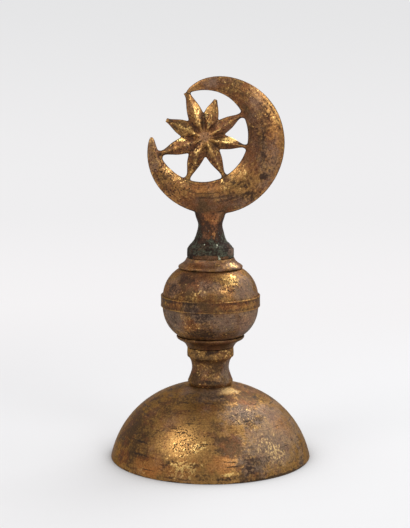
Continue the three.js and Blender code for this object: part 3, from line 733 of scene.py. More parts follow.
CASTING_MARKS = (
    Patch((25.2, -2, 217.5), (9, 5, 6), flakes=0.12),
    Patch((34, -2.6, 205.4), (6, 5, 12), flakes=0.1),
    Patch((30, -2.6, 211), (10, 5, 12), gilding=0.12),
    Patch((26, -3, 200), (8, 6, 22), haze=0.2),
    Patch((26, -3, 198), (12, 6, 24), gilding=-0.2, grime=0.1),
    Patch((15, -3, 214), (5, 6, 5), grime=0.18),
    Patch((36.4, -3, 189.7), (6, 4.8, 16), redness=0.25),
    Patch((36, -3, 182), (11, 9, 26), grime=0.16),
    Patch((26, -3, 162), (14, 6, 10), grime=0.12),
    Patch((-36, -3, 182), (8, 6, 14), haze=0.3),
    Patch((30.6, -3.8, 183.9), (2.4, 3, 13), grime=0.16),
    Patch((22, -1.8, 199), (6, 4.8, 14), grime=0.08),
    Patch((33, -3, 180), (8, 4.8, 16), haze=0.3),
    # Brighter gold on the arm's lower inner bevel: partly real gilding, partly a painted highlight where the
    # bevel faces the light
    Patch((17.8, -2.5, 171), (6, 4.8, 6.5), flakes=0.35),
    Patch((17.8, -2.5, 171), (7, 5.5, 7.5), gilding=0.3),
    Patch((9.1, -3, 162.3), (4, 3, 3), flakes=0.3),
    Patch((-4.4, -2.3, 161.6), (12, 4, 3.6), redness=0.5),
    Patch((18, -3, 156), (16, 6, 6), grime=0.24),
    Patch((12, -3, 153), (24, 6, 6), haze=0.2),
    Patch((6, -3, 153), (26, 6, 6), gilding=-0.15),
    Patch((-27.3, -2.5, 168.1), (4.7, 2.4, 2.4), grime=0.4),
    Patch((31.9, -2.9, 168.7), (5.3, 2.4, 2.4), grime=0.4),
    Patch((17.2, -3.8, 164.1), (7.1, 3, 3), grime=0.25),
    Patch((-34.3, -1.4, 188.5), (2.2, 2.4, 4.1), grime=0.35),
    Patch((5.5, -2, 223.2), (11.7, 3.6, 3.4), haze=0.2),
    Patch((2.5, -2.1, 222.1), (12.8, 4.2, 4.1), gilding=-0.12),
    # Brighter gold on the arm's lower inner bevel: partly real gilding, partly a painted highlight where the
    # bevel faces the light
    Patch((-23.4, -2, 172.4), (4.5, 3.6, 5), flakes=0.4),
    Patch((-17.5, -2, 167), (4.5, 3.6, 3), flakes=0.35),
    Patch((-21.8, -2, 170.6), (7.5, 4, 6.5), gilding=0.4),
    Patch((-12.2, -1, 217.4), (2.6, 2.4, 1.9), grime=0.4),
    Patch((30, 5, 200), (12, 6, 20), grime=0.2),
    Patch((12, 5, 160), (18, 7, 10), gilding=-0.25),
    Patch((-0.3, -6.1, 139.6), (6, 6.5, 9), redness=0.6),
    Patch((-0.3, 0, 138), (14, 14, 15), gilding=-0.3, flakes=-0.4),
    Patch((-0.5, 0, 127), (20, 20, 5), flakes=-0.9, gilding=-0.8),
    Patch((-0.5, 0, 127), (20, 20, 9), crust=0.85),
    Patch((-6.5, -4, 137), (4, 7, 8), crust=0.5),
    Patch((7.5, -4, 135), (3.5, 7, 6), crust=0.5),
    Patch((-0.5, 0, 131), (20, 20, 17), grime=0.5),
    Patch((-6, -3, 146), (5, 6, 6), grime=0.3),
    Patch((-7.9, -2.2, 205.9), (2.1, 2.1, 7.5), flakes=0.5),
    Patch((-7.9, -2.2, 205.9), (2.3, 2.4, 8.1), gilding=0.3),
    # Painted highlight: a bright streak on the upper facet of the right ray
    Patch((11.9, -1.6, 189.9), (6.2, 3, 2.4), flakes=0.9),
    Patch((-16.7, -1.6, 189.7), (4.7, 2, 1.8), flakes=0.5),
    Patch((-8.5, -2, 183.9), (2.1, 2.1, 5.3), flakes=0.5),
    Patch((3.8, -2.3, 179.2), (1.8, 2, 6.5), flakes=0.25),
    Patch((7.9, -1.9, 165.7), (2.3, 2.4, 2.3), flakes=0.5),
    Patch((-2.7, -1.7, 203.6), (1.8, 2, 3.5), flakes=0.45),
    Patch((-13.2, -2.4, 196.7), (5.3, 2, 1.2), flakes=0.4),
    Patch((-3.8, -2.7, 191.4), (4.7, 4.2, 4.1), redness=0.6, haze=0.25),
    # Less dirt and more gold at the hub: partly the hub's lighter colour, partly painted light that lifts the
    # shadows in the valleys between the rays
    Patch((-3.4, -2.7, 190.6), (16, 5, 16), grime=-0.26),
    Patch((-3.4, -2.7, 190.6), (9, 6, 9), grime=-0.4, gilding=0.3),
    Patch((-3.4, -2.7, 190.6), (14, 5, 14), gilding=0.12),
    Patch((-3.4, -2.7, 190.6), (20, 6, 20), flakes=0.18),
    Patch((-3.4, -2.7, 190.6), (24, 6, 24), pits=0.3),
    Patch((-25, -2.7, 170), (18, 6, 18), pits=0.35),
    Patch((-23.7, -1.7, 200.7), (2.4, 2, 1.7), grime=0.7),
    Patch((3.1, -1.2, 211.7), (1.7, 2, 1.7), grime=0.4),
    Patch((17.8, -1.6, 187), (2.4, 2, 1.7), grime=0.5),
    Patch((16, -1.6, 202.4), (2.3, 2.8, 1.7), grime=0.4),
    Patch((-27.9, -1.4, 181.5), (3, 2, 1.8), grime=0.5),
    Patch((-13.2, -1.4, 215.2), (1.5, 2, 2.4), grime=0.5),
    Patch((7.9, -1.3, 169.2), (1.8, 2, 1.8), grime=0.3),
)
CASTING_GILDING = GiltFinish(
    "casting gilding", gilding=0.41, flakes=0.22, grime=0.4, pits=0.38, haze=0.33, redness=0.55,
    fleck=1.5, lines=1.3, along_arm=True, edges=1.5, bump=0.3,
    # Dark lines of painted shade where the arm's ridge turns from the light
    painted_shade_lines=(
        PaintedShadeLine(7.4, (-6.0, -3.6, 159.3), (16.0, 5.0, 5.0)),
        PaintedShadeLine(10.2, (2.0, -3.6, 157.0), (15.0, 5.0, 5.0)),
        PaintedShadeLine(12.6, (10.0, -3.6, 156.0), (13.0, 5.0, 6.0)),
        PaintedShadeLine(14.6, (-30.0, -2.3, 169.0), (6.0, 5.0, 10.0)),
    ),
    patches=CASTING_MARKS)


@dataclass(frozen=True)
class IronFinish:
    """Forged iron with light rust.

    Attributes:
        name: The material's name.
        rust: How much of it is rusty, from 0 to 1.
    """

    name: str
    rust: float = 0.45

    IRON = srgb(72, 66, 60)
    RUST = srgb(108, 62, 36)
    SCALE = srgb(44, 30, 22)

    def material(self) -> Material:
        """Builds the material.

        Returns:
            The material.
        """
        material = bpy.data.materials.new(self.name)
        w = Wiring.blank(material)
        place = w.add("ShaderNodeTexCoord").outputs["Object"]
        blotch = w.noise(place, 3 * MM, detail=5.0, rough=0.65)
        grain = w.noise(place, 0.5 * MM, detail=2.0, seed=4.0)
        rust = w.ramp(w.total([(blotch, 0.7), (grain, 0.3)], self.rust - 0.5), 0.44, 0.58)
        colour = w.mix(w.ramp(grain, 0.5, 0.7), w.mix(rust, self.IRON, self.RUST), self.SCALE)
        height = w.total([(rust, 0.5), (grain, 0.5)])
        bump = w.new("ShaderNodeBump", {"Strength": 0.6, "Distance": 0.15 * MM, "Height": height})
        w.surface(w.new("ShaderNodeBsdfPrincipled", {
            "Base Color": colour, "Metallic": w.blend(rust, 0.9, 0.1),
            "Roughness": w.blend(rust, 0.5, 0.85), "Normal": bump,
        }))
        return material


@dataclass(frozen=True)
class CrustFinish:
    """Dry green corrosion.

    Attributes:
        name: The material's name.
        dark: Its darker colour.
        pale: Its paler colour.
    """

    name: str
    dark: Colour
    pale: Colour

    def material(self) -> Material:
        """Builds the material.

        Returns:
            The material.
        """
        material = bpy.data.materials.new(self.name)
        w = Wiring.blank(material)
        place = w.add("ShaderNodeTexCoord").outputs["Object"]
        kind = w.noise(place, 1.6 * MM, detail=1.0, seed=4.0)
        colour = w.mix(w.ramp(kind, 0.48, 0.62), self.dark, self.pale)
        w.surface(w.new("ShaderNodeBsdfPrincipled", {"Base Color": colour, "Roughness": 0.7}))
        return material


GREEN_CRUST = CrustFinish("green crust", srgb(52, 54, 44), srgb(104, 114, 104))
PALE_CRYSTALS = CrustFinish("pale crystals", srgb(176, 176, 152), srgb(226, 226, 206))


# Mesh code


class Profile:
    """Outlines of turned pieces: rows of distance from the axis and height, in mm."""

    CORNER_STEPS = 6
    MOST_OF_SIDE = 0.45

    @staticmethod
    def arc(centre: Sequence[float], radius: float, start: float, stop: float, count: int) -> np.ndarray:
        """Gives points along an arc.

        Args:
            centre: The arc's centre.
            radius: Its radius.
            start: The first angle in radians.
            stop: The last angle.
            count: How many steps it takes.

        Returns:
            The points, both ends included.
        """
        angle = np.linspace(start, stop, count + 1)
        return np.stack([centre[0] + radius * np.cos(angle), centre[1] + radius * np.sin(angle)], 1)

    @staticmethod
    def through(points: Sequence[Sequence[float]], count: int) -> np.ndarray:
        """Gives points along a smooth curve through a few points.

        Args:
            points: The points that it passes.
            count: How many steps it takes.

        Returns:
            The points, both ends included.
        """
        keys = np.asarray(points, float)
        last = len(keys) - 1
        at = np.linspace(0, last, count + 1)
        k = np.minimum(at.astype(int), last - 1)
        t = (at - k)[:, None]
        before, here = keys[np.maximum(k - 1, 0)], keys[k]
        there, after = keys[k + 1], keys[np.minimum(k + 2, last)]
        leave, arrive = (there - before) / 2, (after - here) / 2
        cubic = 2 * here - 2 * there + leave + arrive
        square = -3 * here + 3 * there - 2 * leave - arrive
        return ((cubic * t + square) * t + leave) * t + here

    @classmethod
    def softened(cls, points: np.ndarray, radius: float, sharp: float = 20.0) -> np.ndarray:
        """Rounds the sharp corners of a closed outline.

        Args:
            points: The outline.
            radius: How far from each corner the rounding starts, in mm.
            sharp: The least turn in degrees that counts as a corner.

        Returns:
            The rounded outline.
        """
        result = []
        for i, here in enumerate(points):
            back, ahead = points[i - 1] - here, points[(i + 1) % len(points)] - here
            long_back, long_ahead = np.hypot(*back), np.hypot(*ahead)
            cosine = -np.dot(back, ahead) / (long_back * long_ahead)
            if math.degrees(math.acos(np.clip(cosine, -1, 1))) < sharp:
                result.append(here)
                continue
            start = here + back / long_back * min(radius, long_back * cls.MOST_OF_SIDE)
            stop = here + ahead / long_ahead * min(radius, long_ahead * cls.MOST_OF_SIDE)
            for t in np.linspace(0, 1, cls.CORNER_STEPS):
                result.append(start * (1 - t) ** 2 + here * 2 * t * (1 - t) + stop * t ** 2)
        return np.array(result)

    @staticmethod
    def refined(points: np.ndarray, step: float) -> np.ndarray:
        """Divides the long sides of a closed outline.

        Args:
            points: The outline.
            step: The longest side that stays, in mm.

        Returns:
            The divided outline.
        """
        result = []
        for here, there in zip(points, np.roll(points, -1, axis=0)):
            count = max(1, math.ceil(np.hypot(*(there - here)) / step))
            result.extend(here + (there - here) * i / count for i in range(count))
        return np.array(result)


class Worked:
    """Makes and finishes the meshes of the pieces."""

    RELIEF = "relief"
    LEVEL = "level"
    RELIEF_HEIGHT = 0.12

    @staticmethod
    def linked(name: str, data: bpy.types.ID) -> Piece:
        """Puts new data into the scene.

        Args:
            name: The name of its object.
            data: A mesh, a lamp or a camera.

        Returns:
            The object.
        """
        item = bpy.data.objects.new(name, data)
        bpy.context.scene.collection.objects.link(item)
        return item

    @staticmethod
    def mesh(name: str, points: np.ndarray, faces: Sequence[Sequence[int]],
             edges: Sequence[Sequence[int]] = ()) -> Piece:
        """Makes an object from points in mm.

        Args:
            name: The object's name.
            points: Its vertices in mm.
            faces: Its faces.
            edges: Its edges, where it has no faces.

        Returns:
            The object.
        """
        data = bpy.data.meshes.new(name)
        data.from_pydata([tuple(row) for row in points * MM], edges, faces)
        data.update()
        return Worked.linked(name, data)

    @staticmethod
    def lofted(name: str, rings: np.ndarray) -> Piece:
        """Skins a row of rings and closes both ends.

        Args:
            name: The object's name.
            rings: The points of each ring in mm, as many in each.

        Returns:
            The object.
        """
        count, size, _ = rings.shape
        faces = [
            (i * size + j, i * size + (j + 1) % size, (i + 1) * size + (j + 1) % size, (i + 1) * size + j)
            for i in range(count - 1) for j in range(size)
        ]
        faces.append(tuple(range(size - 1, -1, -1)))
        faces.append(tuple((count - 1) * size + j for j in range(size)))
        return Worked.mesh(name, rings.reshape(-1, 3), faces)

    @staticmethod
    def baked(piece: Piece, name: str) -> Piece:
        """Turns a piece with modifiers into a plain mesh.

        Args:
            piece: The piece, which is deleted.
            name: The new object's name.

        Returns:
            The new object.
        """
        bpy.context.view_layer.update()
        evaluated = piece.evaluated_get(bpy.context.evaluated_depsgraph_get())
        data = bpy.data.meshes.new_from_object(evaluated)
        bpy.data.objects.remove(piece)
        data.name = name
        return Worked.linked(name, data)

    @staticmethod
    def shaped(piece: Piece, group: Group, values: Mapping[str, object], name: str) -> Piece:
        """Runs a geometry tree on a piece and bakes the result.

        Args:
            piece: The piece, which is deleted.
            group: The geometry tree.
            values: Values by input name.
            name: The new object's name.

        Returns:
            The new object, a plain mesh with its faces outwards.
        """
        modifier = piece.modifiers.new(group.tree.name, "NODES")
        modifier.node_group = group.tree
        for item in group.tree.interface.items_tree:
            if item.in_out == "INPUT" and item.name in values:
                modifier[item.identifier] = values[item.name]
        return Worked.outwards(Worked.baked(piece, name))

    @staticmethod
    def outwards(piece: Piece) -> Piece:
        """Turns the faces of a closed mesh outwards.

        Args:
            piece: The piece.

        Returns:
            The same piece.
        """
        data = piece.data
        data.calc_loop_triangles()
        corners = np.empty(len(data.loop_triangles) * 3, np.int32)
        data.loop_triangles.foreach_get("vertices", corners)
        a, b, c = (Worked.places(data)[corners[k::3]] for k in range(3))
        if np.einsum("ij,ij->i", a, np.cross(b, c)).sum() < 0:
            data.flip_normals()
        return piece

    @staticmethod
    def rows(items: bpy.types.bpy_prop_collection, name: str, width: int, kind: type) -> np.ndarray:
        """Reads one property of all vertices or edges.

        Args:
            items: The vertices or edges of a mesh.
            name: The property.
            width: How many numbers it has.
            kind: The numbers' type.

        Returns:
            A row for each item.
        """
        flat = np.empty(len(items) * width, kind)
        items.foreach_get(name, flat)
        return flat.reshape(-1, width)

    @staticmethod
    def places(data: bpy.types.Mesh) -> np.ndarray:
        """Returns the vertices of a mesh, in metres."""
        return Worked.rows(data.vertices, "co", 3, np.float32).astype(float)

    @staticmethod
    def edges(data: bpy.types.Mesh) -> np.ndarray:
        """Returns the edges of a mesh as pairs of vertices."""
        return Worked.rows(data.edges, "vertices", 2, np.int32)

    @staticmethod
    def eased(places: np.ndarray, edges: np.ndarray, rounds: int,
              weight: np.ndarray | float = 1.0) -> np.ndarray:
        """Draws vertices towards the middle of their neighbours.

        Args:
            places: The vertices.
            edges: Pairs of vertices.
            rounds: How often it is done.
            weight: How much each vertex moves, from 0 to 1.

        Returns:
            The moved vertices.
        """
        count = len(places)
        a, b = edges[:, 0], edges[:, 1]
        share = np.asarray(weight * np.ones(count))[:, None] * 0.5
        near = np.bincount(a, minlength=count) + np.bincount(b, minlength=count)
        for _ in range(rounds):
            sums = [np.bincount(a, row[b], count) + np.bincount(b, row[a], count) for row in places.T]
            places = places + share * (np.stack(sums, 1) / near[:, None] - places)
        return places

    @staticmethod
    def store(data: bpy.types.Mesh, name: str, values: np.ndarray) -> None:
        """Stores a number on each vertex."""
        attribute = data.attributes.new(name, "FLOAT", "POINT")
        attribute.data.foreach_set("value", values.astype(np.float32))

    @staticmethod
    def mark_relief(piece: Piece, rounds: int, full: float = RELIEF_HEIGHT, painted_side_shade: float = 0.0) -> None:
        """Stores how far each vertex stands out of its surroundings, from -1 to 1, with faces turned sideways
        to the view pushed deeper as painted shade.

        Args:
            piece: The piece.
            rounds: How wide the surroundings are.
            full: The height in mm that counts as 1.
            painted_side_shade: How much deeper the faces count that look neither to the front nor to the
                back, which darkens them: painted shade on the side faces.
        """
        data = piece.data
        places, edges = Worked.places(data), Worked.edges(data)
        normals = Worked.rows(data.vertices, "normal", 3, np.float32)
        relief = np.einsum("ij,ij->i", places - Worked.eased(places, edges, rounds), normals) / (full * MM)
        # Painted shade: faces turned sideways to the view count as deeper, so they come out darker
        relief -= painted_side_shade * np.clip((0.9 - np.abs(normals[:, 1])) / 0.3, 0, 1)
        relief = Worked.eased(relief[:, None], edges, 3)[:, 0]
        Worked.store(data, Worked.RELIEF, np.clip(relief, -1, 1))

    @staticmethod
    def handed(piece: Piece, slot: str, *nodes: str) -> Piece:
        """Lets a finished piece ride on the body in the place of its CAD nodes.

        Args:
            piece: The finished piece.
            slot: Its material slot in the record; not used.
            nodes: The CAD nodes that it stands for.

        Returns:
            The piece.
        """
        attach(piece, BODY)
        if nodes:
            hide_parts(*nodes)
        size = [round(value / MM, 1) for value in piece.dimensions]
        LOG.info("%s: %d faces, %s mm", piece.name, len(piece.data.polygons), size)
        return piece


class Making:
    """The node groups that all pieces share: the trees that make and wear them, and their effects."""

    WEAR = {
        "Sway": (FLOAT, 0.1 * MM), "Sway Size": (FLOAT, 20 * MM),
        "Ripple": (FLOAT, 0.03 * MM), "Ripple Size": (FLOAT, 4 * MM),
        "Dents": (FLOAT, 0.0), "Dent Depth": (FLOAT, 0.15 * MM), "Dent Width": (FLOAT, 1.5 * MM),
        "Seed": (INT, 1), "Material": (MATERIAL, None),
    }

    def __init__(self) -> None:
        """Builds each group."""
        self.effects = SurfaceEffects()
        self.turning = self._turning()
        self.wearing = self._wearing()
        self.threading = self._threading()
        self.sprinkling = self._sprinkling()

    @staticmethod
    def _tree(name: str, inputs: Mapping[str, tuple[str, object]]) -> Group:
        """Starts a geometry tree with the given inputs."""
        inputs = {"Geometry": (GEOMETRY, None)} | inputs
        return Group(name, "GeometryNodeTree", inputs, {"Geometry": GEOMETRY})

    def _worn(self, group: Group, geometry: Socket) -> Group:
        """Ends a tree with the wear that all the old metal has.

        Args:
            group: The tree, with the inputs of WEAR.
            geometry: The new surface.

        Returns:
            The tree.
        """
        w, given = group.wiring, group.given
        place = w.new("GeometryNodeInputPosition")
        seed = w.math("ADD", given["Seed"], 0.5)
        sway = w.noise(place, given["Sway Size"], detail=1.0, seed=seed)
        ripple = w.noise(place, given["Ripple Size"], detail=3.0, seed=seed)
        points = w.new("GeometryNodeDistributePointsOnFaces", {
            "Mesh": geometry, "Density": given["Dents"], "Seed": given["Seed"],
        }, distribute_method="RANDOM")
        distance = w.add("GeometryNodeProximity", {0: points}, target_element="POINTS").outputs["Distance"]
        dent = w.ramp(distance, 0.0, given["Dent Width"], given["Dent Depth"], 0.0)
        found = w.new("GeometryNodeAttributeDomainSize", {0: points}, component="POINTCLOUD")
        dent = w.times(dent, w.math("MINIMUM", found, 1.0))
        height = w.times(w.math("SUBTRACT", sway, 0.5), given["Sway"])
        height = w.math("ADD", height, w.times(w.math("SUBTRACT", ripple, 0.5), given["Ripple"]))
        height = w.math("SUBTRACT", w.times(height, 2.0), dent)
        offset = w.scaled(w.new("GeometryNodeInputNormal"), height)
        moved = w.new("GeometryNodeSetPosition", {"Geometry": geometry, "Offset": offset})
        return self._finished(group, moved)

    def _finished(self, group: Group, geometry: Socket) -> Group:
        """Ends a tree with real, smooth, dressed geometry.

        Args:
            group: The tree.
            geometry: The geometry.

        Returns:
            The tree.
        """
        w = group.wiring
        smooth = w.new("GeometryNodeSetShadeSmooth", {"Geometry": geometry})
        real = w.new("GeometryNodeRealizeInstances", {"Geometry": smooth})
        dressed = w.new("GeometryNodeSetMaterial", {"Geometry": real, "Material": group.given["Material"]})
        w.feed(group.result["Geometry"], dressed)
        return group

    def _turning(self) -> Group:
        """Builds the tree that turns a closed profile about the Z axis.

        Returns:
            The tree.
        """
        group = self._tree("Turned piece", {"Mid Radius": (FLOAT, 10 * MM), "Flats": (INT, 64)} | self.WEAR)
        w, given = group.wiring, group.given
        profile = w.new("GeometryNodeMeshToCurve", {"Mesh": given["Geometry"]})
        path = w.new("GeometryNodeCurvePrimitiveCircle",
                     {"Resolution": given["Flats"], "Radius": given["Mid Radius"]})
        return self._worn(group, w.new("GeometryNodeCurveToMesh", {0: path, 1: profile}))

    def _wearing(self) -> Group:
        """Builds the tree that wears a finished surface."""
        group = self._tree("Worn piece", self.WEAR)
        return self._worn(group, group.given["Geometry"])

    def _threading(self) -> Group:
        """Builds the tree that winds a thread round the lower end of a rod.

        Returns:
            The tree.
        """
        group = self._tree("Thread", {
            "Radius": (FLOAT, 3 * MM), "Bottom": (FLOAT, 0.0), "Length": (FLOAT, 10 * MM),
            "Pitch": (FLOAT, 1 * MM), "Depth": (FLOAT, 0.3 * MM), "Material": (MATERIAL, None),
        })
        w, given = group.wiring, group.given
        helix = w.new("GeometryNodeCurveSpiral", {
            "Resolution": 24, "Rotations": w.math("DIVIDE", given["Length"], given["Pitch"]),
            "Start Radius": given["Radius"], "End Radius": given["Radius"], "Height": given["Length"],
        })
        ridge = w.new("GeometryNodeCurvePrimitiveCircle", {"Resolution": 4, "Radius": given["Depth"]})
        thread = w.new("GeometryNodeCurveToMesh", {0: helix, 1: ridge, "Fill Caps": True})
        rise = w.new("ShaderNodeCombineXYZ", {2: given["Bottom"]})
        both = w.add("GeometryNodeJoinGeometry")
        w.feed(both.inputs[0], given["Geometry"])
        w.feed(both.inputs[0], w.new("GeometryNodeTransform", {"Geometry": thread, "Translation": rise}))
        return self._finished(group, both.outputs[0])

    def _sprinkling(self) -> Group:
        """Builds the tree that sprinkles grains of crust over a surface.

        Returns:
            The tree.
        """
        group = self._tree("Crust grains", {
            "Density": (FLOAT, 40000.0), "Clumping": (FLOAT, 1.0), "Grain": (FLOAT, 0.25 * MM),
            "Seed": (INT, 5), "Material": (MATERIAL, None),
        })
        w, given = group.wiring, group.given
        clump = w.noise(w.new("GeometryNodeInputPosition"), 3.5 * MM, detail=2.0, seed=11.0)
        clumped = w.blend(given["Clumping"], 1.0, w.ramp(clump, 0.50, 0.62))
        spread = w.add("GeometryNodeDistributePointsOnFaces", {
            "Mesh": given["Geometry"], "Density": w.times(given["Density"], clumped), "Seed": given["Seed"],
        }, distribute_method="RANDOM").outputs
        grain = w.new("GeometryNodeMeshIcoSphere", {"Radius": given["Grain"], "Subdivisions": 1})
        size = w.new("FunctionNodeRandomValue",
                     {0: (0.5, 0.5, 0.25), 1: (1.7, 1.4, 0.7), "Seed": given["Seed"]},
                     data_type="FLOAT_VECTOR")
        return self._finished(group, w.new("GeometryNodeInstanceOnPoints", {
            "Points": spread["Points"], "Instance": grain, "Rotation": spread["Rotation"], "Scale": size,
        }))


# The pieces


@dataclass
class Turned:
    """A piece that was raised or cast and then turned on a lathe.

    Attributes:
        name: The piece's name.
        node: The CAD node that it stands for, or nothing.
        slot: The material slot of the record.
        finish: Its finish.
        flats: The number of faces round the axis.
        rounding: How far its corners are worn round, in mm.
        sway: How far it departs from a true round, in mm.
        ripple: How far its hammered surface goes up and down, in mm.
        dents: The number of small dents in a square metre.
        seed: Which random pattern its wear has.
    """

    name: str
    node: str
    slot: str
    finish: GiltFinish
    flats: int = 256
    rounding: float = 0.5
    sway: float = 0.06
    ripple: float = 0.02
    dents: float = 500.0
    seed: int = 1

    LONGEST_SIDE = 0.8
    RELIEF_ROUNDS = 10

    def outline(self) -> np.ndarray:
        """Returns the closed profile in mm. Each kind of piece gives its own."""
        raise NotImplementedError

    def build(self, making: Making) -> Piece:
        """Makes the piece.

        Args:
            making: The shared node groups.

        Returns:
            The finished object.
        """
        profile = Profile.refined(Profile.softened(self.outline(), self.rounding), self.LONGEST_SIDE)
        middle = (profile[:, 0].min() + profile[:, 0].max()) / 2
        count = len(profile)
        flat = np.stack([profile[:, 0] - middle, -profile[:, 1], np.zeros(count)], 1)
        ring = [(i, (i + 1) % count) for i in range(count)]
        draft = Worked.mesh(self.name + "_profile", flat, [], ring)
        piece = Worked.shaped(draft, making.turning, {
            "Mid Radius": middle * MM, "Flats": self.flats, "Sway": self.sway * MM,
            "Ripple": self.ripple * MM, "Dents": self.dents, "Seed": self.seed,
            "Material": self.finish.material(making.effects),
        }, self.name)
        Worked.mark_relief(piece, self.RELIEF_ROUNDS)
        return Worked.handed(piece, self.slot, *([self.node] if self.node else []))


@dataclass
class Dome(Turned):
    """The raised foot: a skirt arc, a crown arc and a flat seat with a hole."""

    rim: float = 60.0
    lean: float = 11.9
    skirt: float = 54.3
    shoulder: float = 63.4
    seat: float = 12.8
    hole: float = 7.8
    wall: float = 1.2

    def face(self, inset: float) -> np.ndarray:
        """Gives the outer face of the dome or its inner one.

        Args:
            inset: How far it lies inside the outer face.

        Returns:
            Its points from the rim to the seat.
        """
        lean, shoulder = math.radians(self.lean), math.radians(self.shoulder)
        low = (self.rim - self.skirt * math.cos(lean), -self.skirt * math.sin(lean))
        crown = (0.0, low[1] - low[0] * math.tan(shoulder))
        full = low[0] / math.cos(shoulder) + self.skirt - inset
        start = math.asin(-low[1] / (self.skirt - inset))
        lower = Profile.arc(low, self.skirt - inset, start, shoulder, 60)
        upper = Profile.arc(crown, full, shoulder, math.acos(self.seat / full), 36)
        return np.concatenate([lower, upper[1:]])

    def outline(self) -> np.ndarray:
        """Gives the closed profile.

        Returns:
            Its points in mm.
        """
        outside, inside = self.face(0.0), self.face(self.wall)
        top = outside[-1, 1]
        under = top - self.wall
        hole = [(self.hole, top), (self.hole, under), (self.seat, under)]
        return np.concatenate([outside, hole, inside[inside[:, 1] < under - GAP][::-1]])


@dataclass
class Neck(Turned):
    """The spool between the dome and the lower collar."""

    bottom: float = 43.84
    height: float = 16.9
    wall: float = 1.2

    def outline(self) -> np.ndarray:
        """Gives the closed profile.

        Returns:
            Its points in mm.
        """
        low, top = self.bottom, self.bottom + self.height
        under, seat, foot, floor = low - self.wall, low - GAP, low + 1.2, low + 2.5
        side = Profile.through([
            (13.5, foot + 1.2), (11.93, foot + 5.16), (11.05, low + 10.0), (11.65, low + 14.0), (13.1, top),
        ], 36)
        return np.concatenate([
            [(ROD_HOLE, under), (7.5, under), (7.5, seat), (12.2, seat), (12.2, foot), (13.5, foot)], side,
            [(8.5, top), (8.5, floor), (ROD_HOLE, floor)],
        ])


@dataclass
class Collar(Turned):
    """A plain ring. The lower one has a spigot below it."""

    bottom: float = 61.04
    height: float = 5.5
    radius: float = 13.95
    bore: float = 6.4
    spigot: float = 0.0
    spigot_height: float = 2.0

    def outline(self) -> np.ndarray:
        """Gives the closed profile.

        Returns:
            Its points in mm.
        """
        low, top = self.bottom - GAP, self.bottom + self.height
        foot = [(self.bore, low)]
        if self.spigot:
            end = low - self.spigot_height
            foot = [(self.bore, end), (self.spigot, end), (self.spigot, low)]
        middle = Profile.through([
            (self.radius - 0.12, low + 0.3), (self.radius, low + self.height * 0.3),
            (self.radius - 0.05, low + self.height * 0.7), (self.radius - 0.15, top - 0.3),
        ], 10)
        return np.concatenate([
            foot, [(self.radius - 0.4, low)], middle, [(self.radius - 0.45, top), (self.bore, top)],
        ])


@dataclass
class Fillet(Turned):
    """The crust that fills the joint between the upper ring and the foot of the casting."""

    low: float = 125.9
    height: float = 3.2
    inner: float = 10.2

    def outline(self) -> np.ndarray:
        """Gives the closed profile.

        Returns:
            Its points in mm.
        """
        low, top = self.low, self.low + self.height
        side = Profile.through([(13.0, low + 0.2), (12.85, low + 0.9), (12.15, low + 1.7), (10.9, top)], 10)
        return np.concatenate([side, [(self.inner, top), (self.inner, low)]])


class Ball:
    """The superellipse that the bowls and the saucers follow, in mm."""

    RADIUS = 28.65
    HALF = 24.3
    SQUARE = 2.4
    FLAT = 8.0
    CENTRE = 93.56
    TOP = HALF * (1 - (FLAT / RADIUS) ** SQUARE) ** (1 / SQUARE)

    @classmethod
    def face(cls, inset: float, start: float, stop: float, count: int) -> np.ndarray:
        """Gives points of the ball's face.

        Args:
            inset: How far inside the face they lie.
            start: The first height above the centre.
            stop: The last one.
            count: How many steps there are.

        Returns:
            The points, both ends included.
        """
        half = cls.HALF - inset
        height = half * np.sin(np.linspace(math.asin(start / half), math.asin(stop / half), count + 1))
        share = 1 - (np.abs(height) / half) ** cls.SQUARE
        return np.stack([(cls.RADIUS - inset) * share ** (1 / cls.SQUARE), height], 1)


@dataclass
class Saucer(Turned):
    """A flared cup that holds the ball. It opens upwards, or downwards where side is -1."""

    waist: float = 66.84
    side: int = 1
    height: float = 6.7
    floor: float = 2.6
    waist_radius: float = 14.1
    spigot: float = 6.1
    spigot_height: float = 2.0
    lip: float = 0.7

    def outline(self) -> np.ndarray:
        """Gives the closed profile.

        Returns:
            Its points in mm.
        """
        to_ball = self.floor + GAP + Ball.TOP
        cup = Ball.face(-GAP, self.height - to_ball, -Ball.TOP - GAP, 16)
        cup[:, 1] += to_ball
        rim = cup[0, 0] + self.lip
        flare = rim - self.waist_radius
        shares = ((0.0, 0.0), (0.3, 0.2), (0.52, 0.48), (0.72, 0.86))
        keys = [(self.waist_radius + flare * out, self.height * up) for up, out in shares]
        side = Profile.through([*keys, (rim, self.height - 0.9)], 24)
        end = -self.spigot_height
        outline = np.concatenate([
            [(ROD_HOLE, end), (self.spigot, end), (self.spigot, 0.0)], side, [(rim, self.height)], cup,
            [(ROD_HOLE, self.floor)],
        ])
        outline[:, 1] = self.waist + self.side * outline[:, 1]
        return outline


@dataclass
class Bowl(Turned):
    """One half of the ball. The upper one has the lap inside the seam."""

    upper: bool = False
    seam: float = 1.15
    wall: float = 1.2
    lap: float = 3.0

    def outline(self) -> np.ndarray:
        """Gives the closed profile.

        Returns:
            Its points in mm.
        """
        top, wall = Ball.TOP, self.wall
        if self.upper:
            rim = self.seam + GAP
            lap, end = Ball.face(wall, rim, rim, 1)[0, 0] - GAP, rim - self.lap
            outline = np.concatenate([
                [(ROD_HOLE, top)], Ball.face(0.0, top, rim, 48),
                [(lap, rim), (lap, end), (lap - wall, end), (lap - wall, rim + wall)],
                Ball.face(wall, rim + 2 * wall, top - wall, 24), [(ROD_HOLE, top - wall)],
            ])
        else:
            outline = np.concatenate([
                [(ROD_HOLE, -top)], Ball.face(0.0, -top, self.seam, 48),
                Ball.face(wall, self.seam, wall - top, 24), [(ROD_HOLE, wall - top)],
            ])
        outline[:, 1] += Ball.CENTRE
        return outline


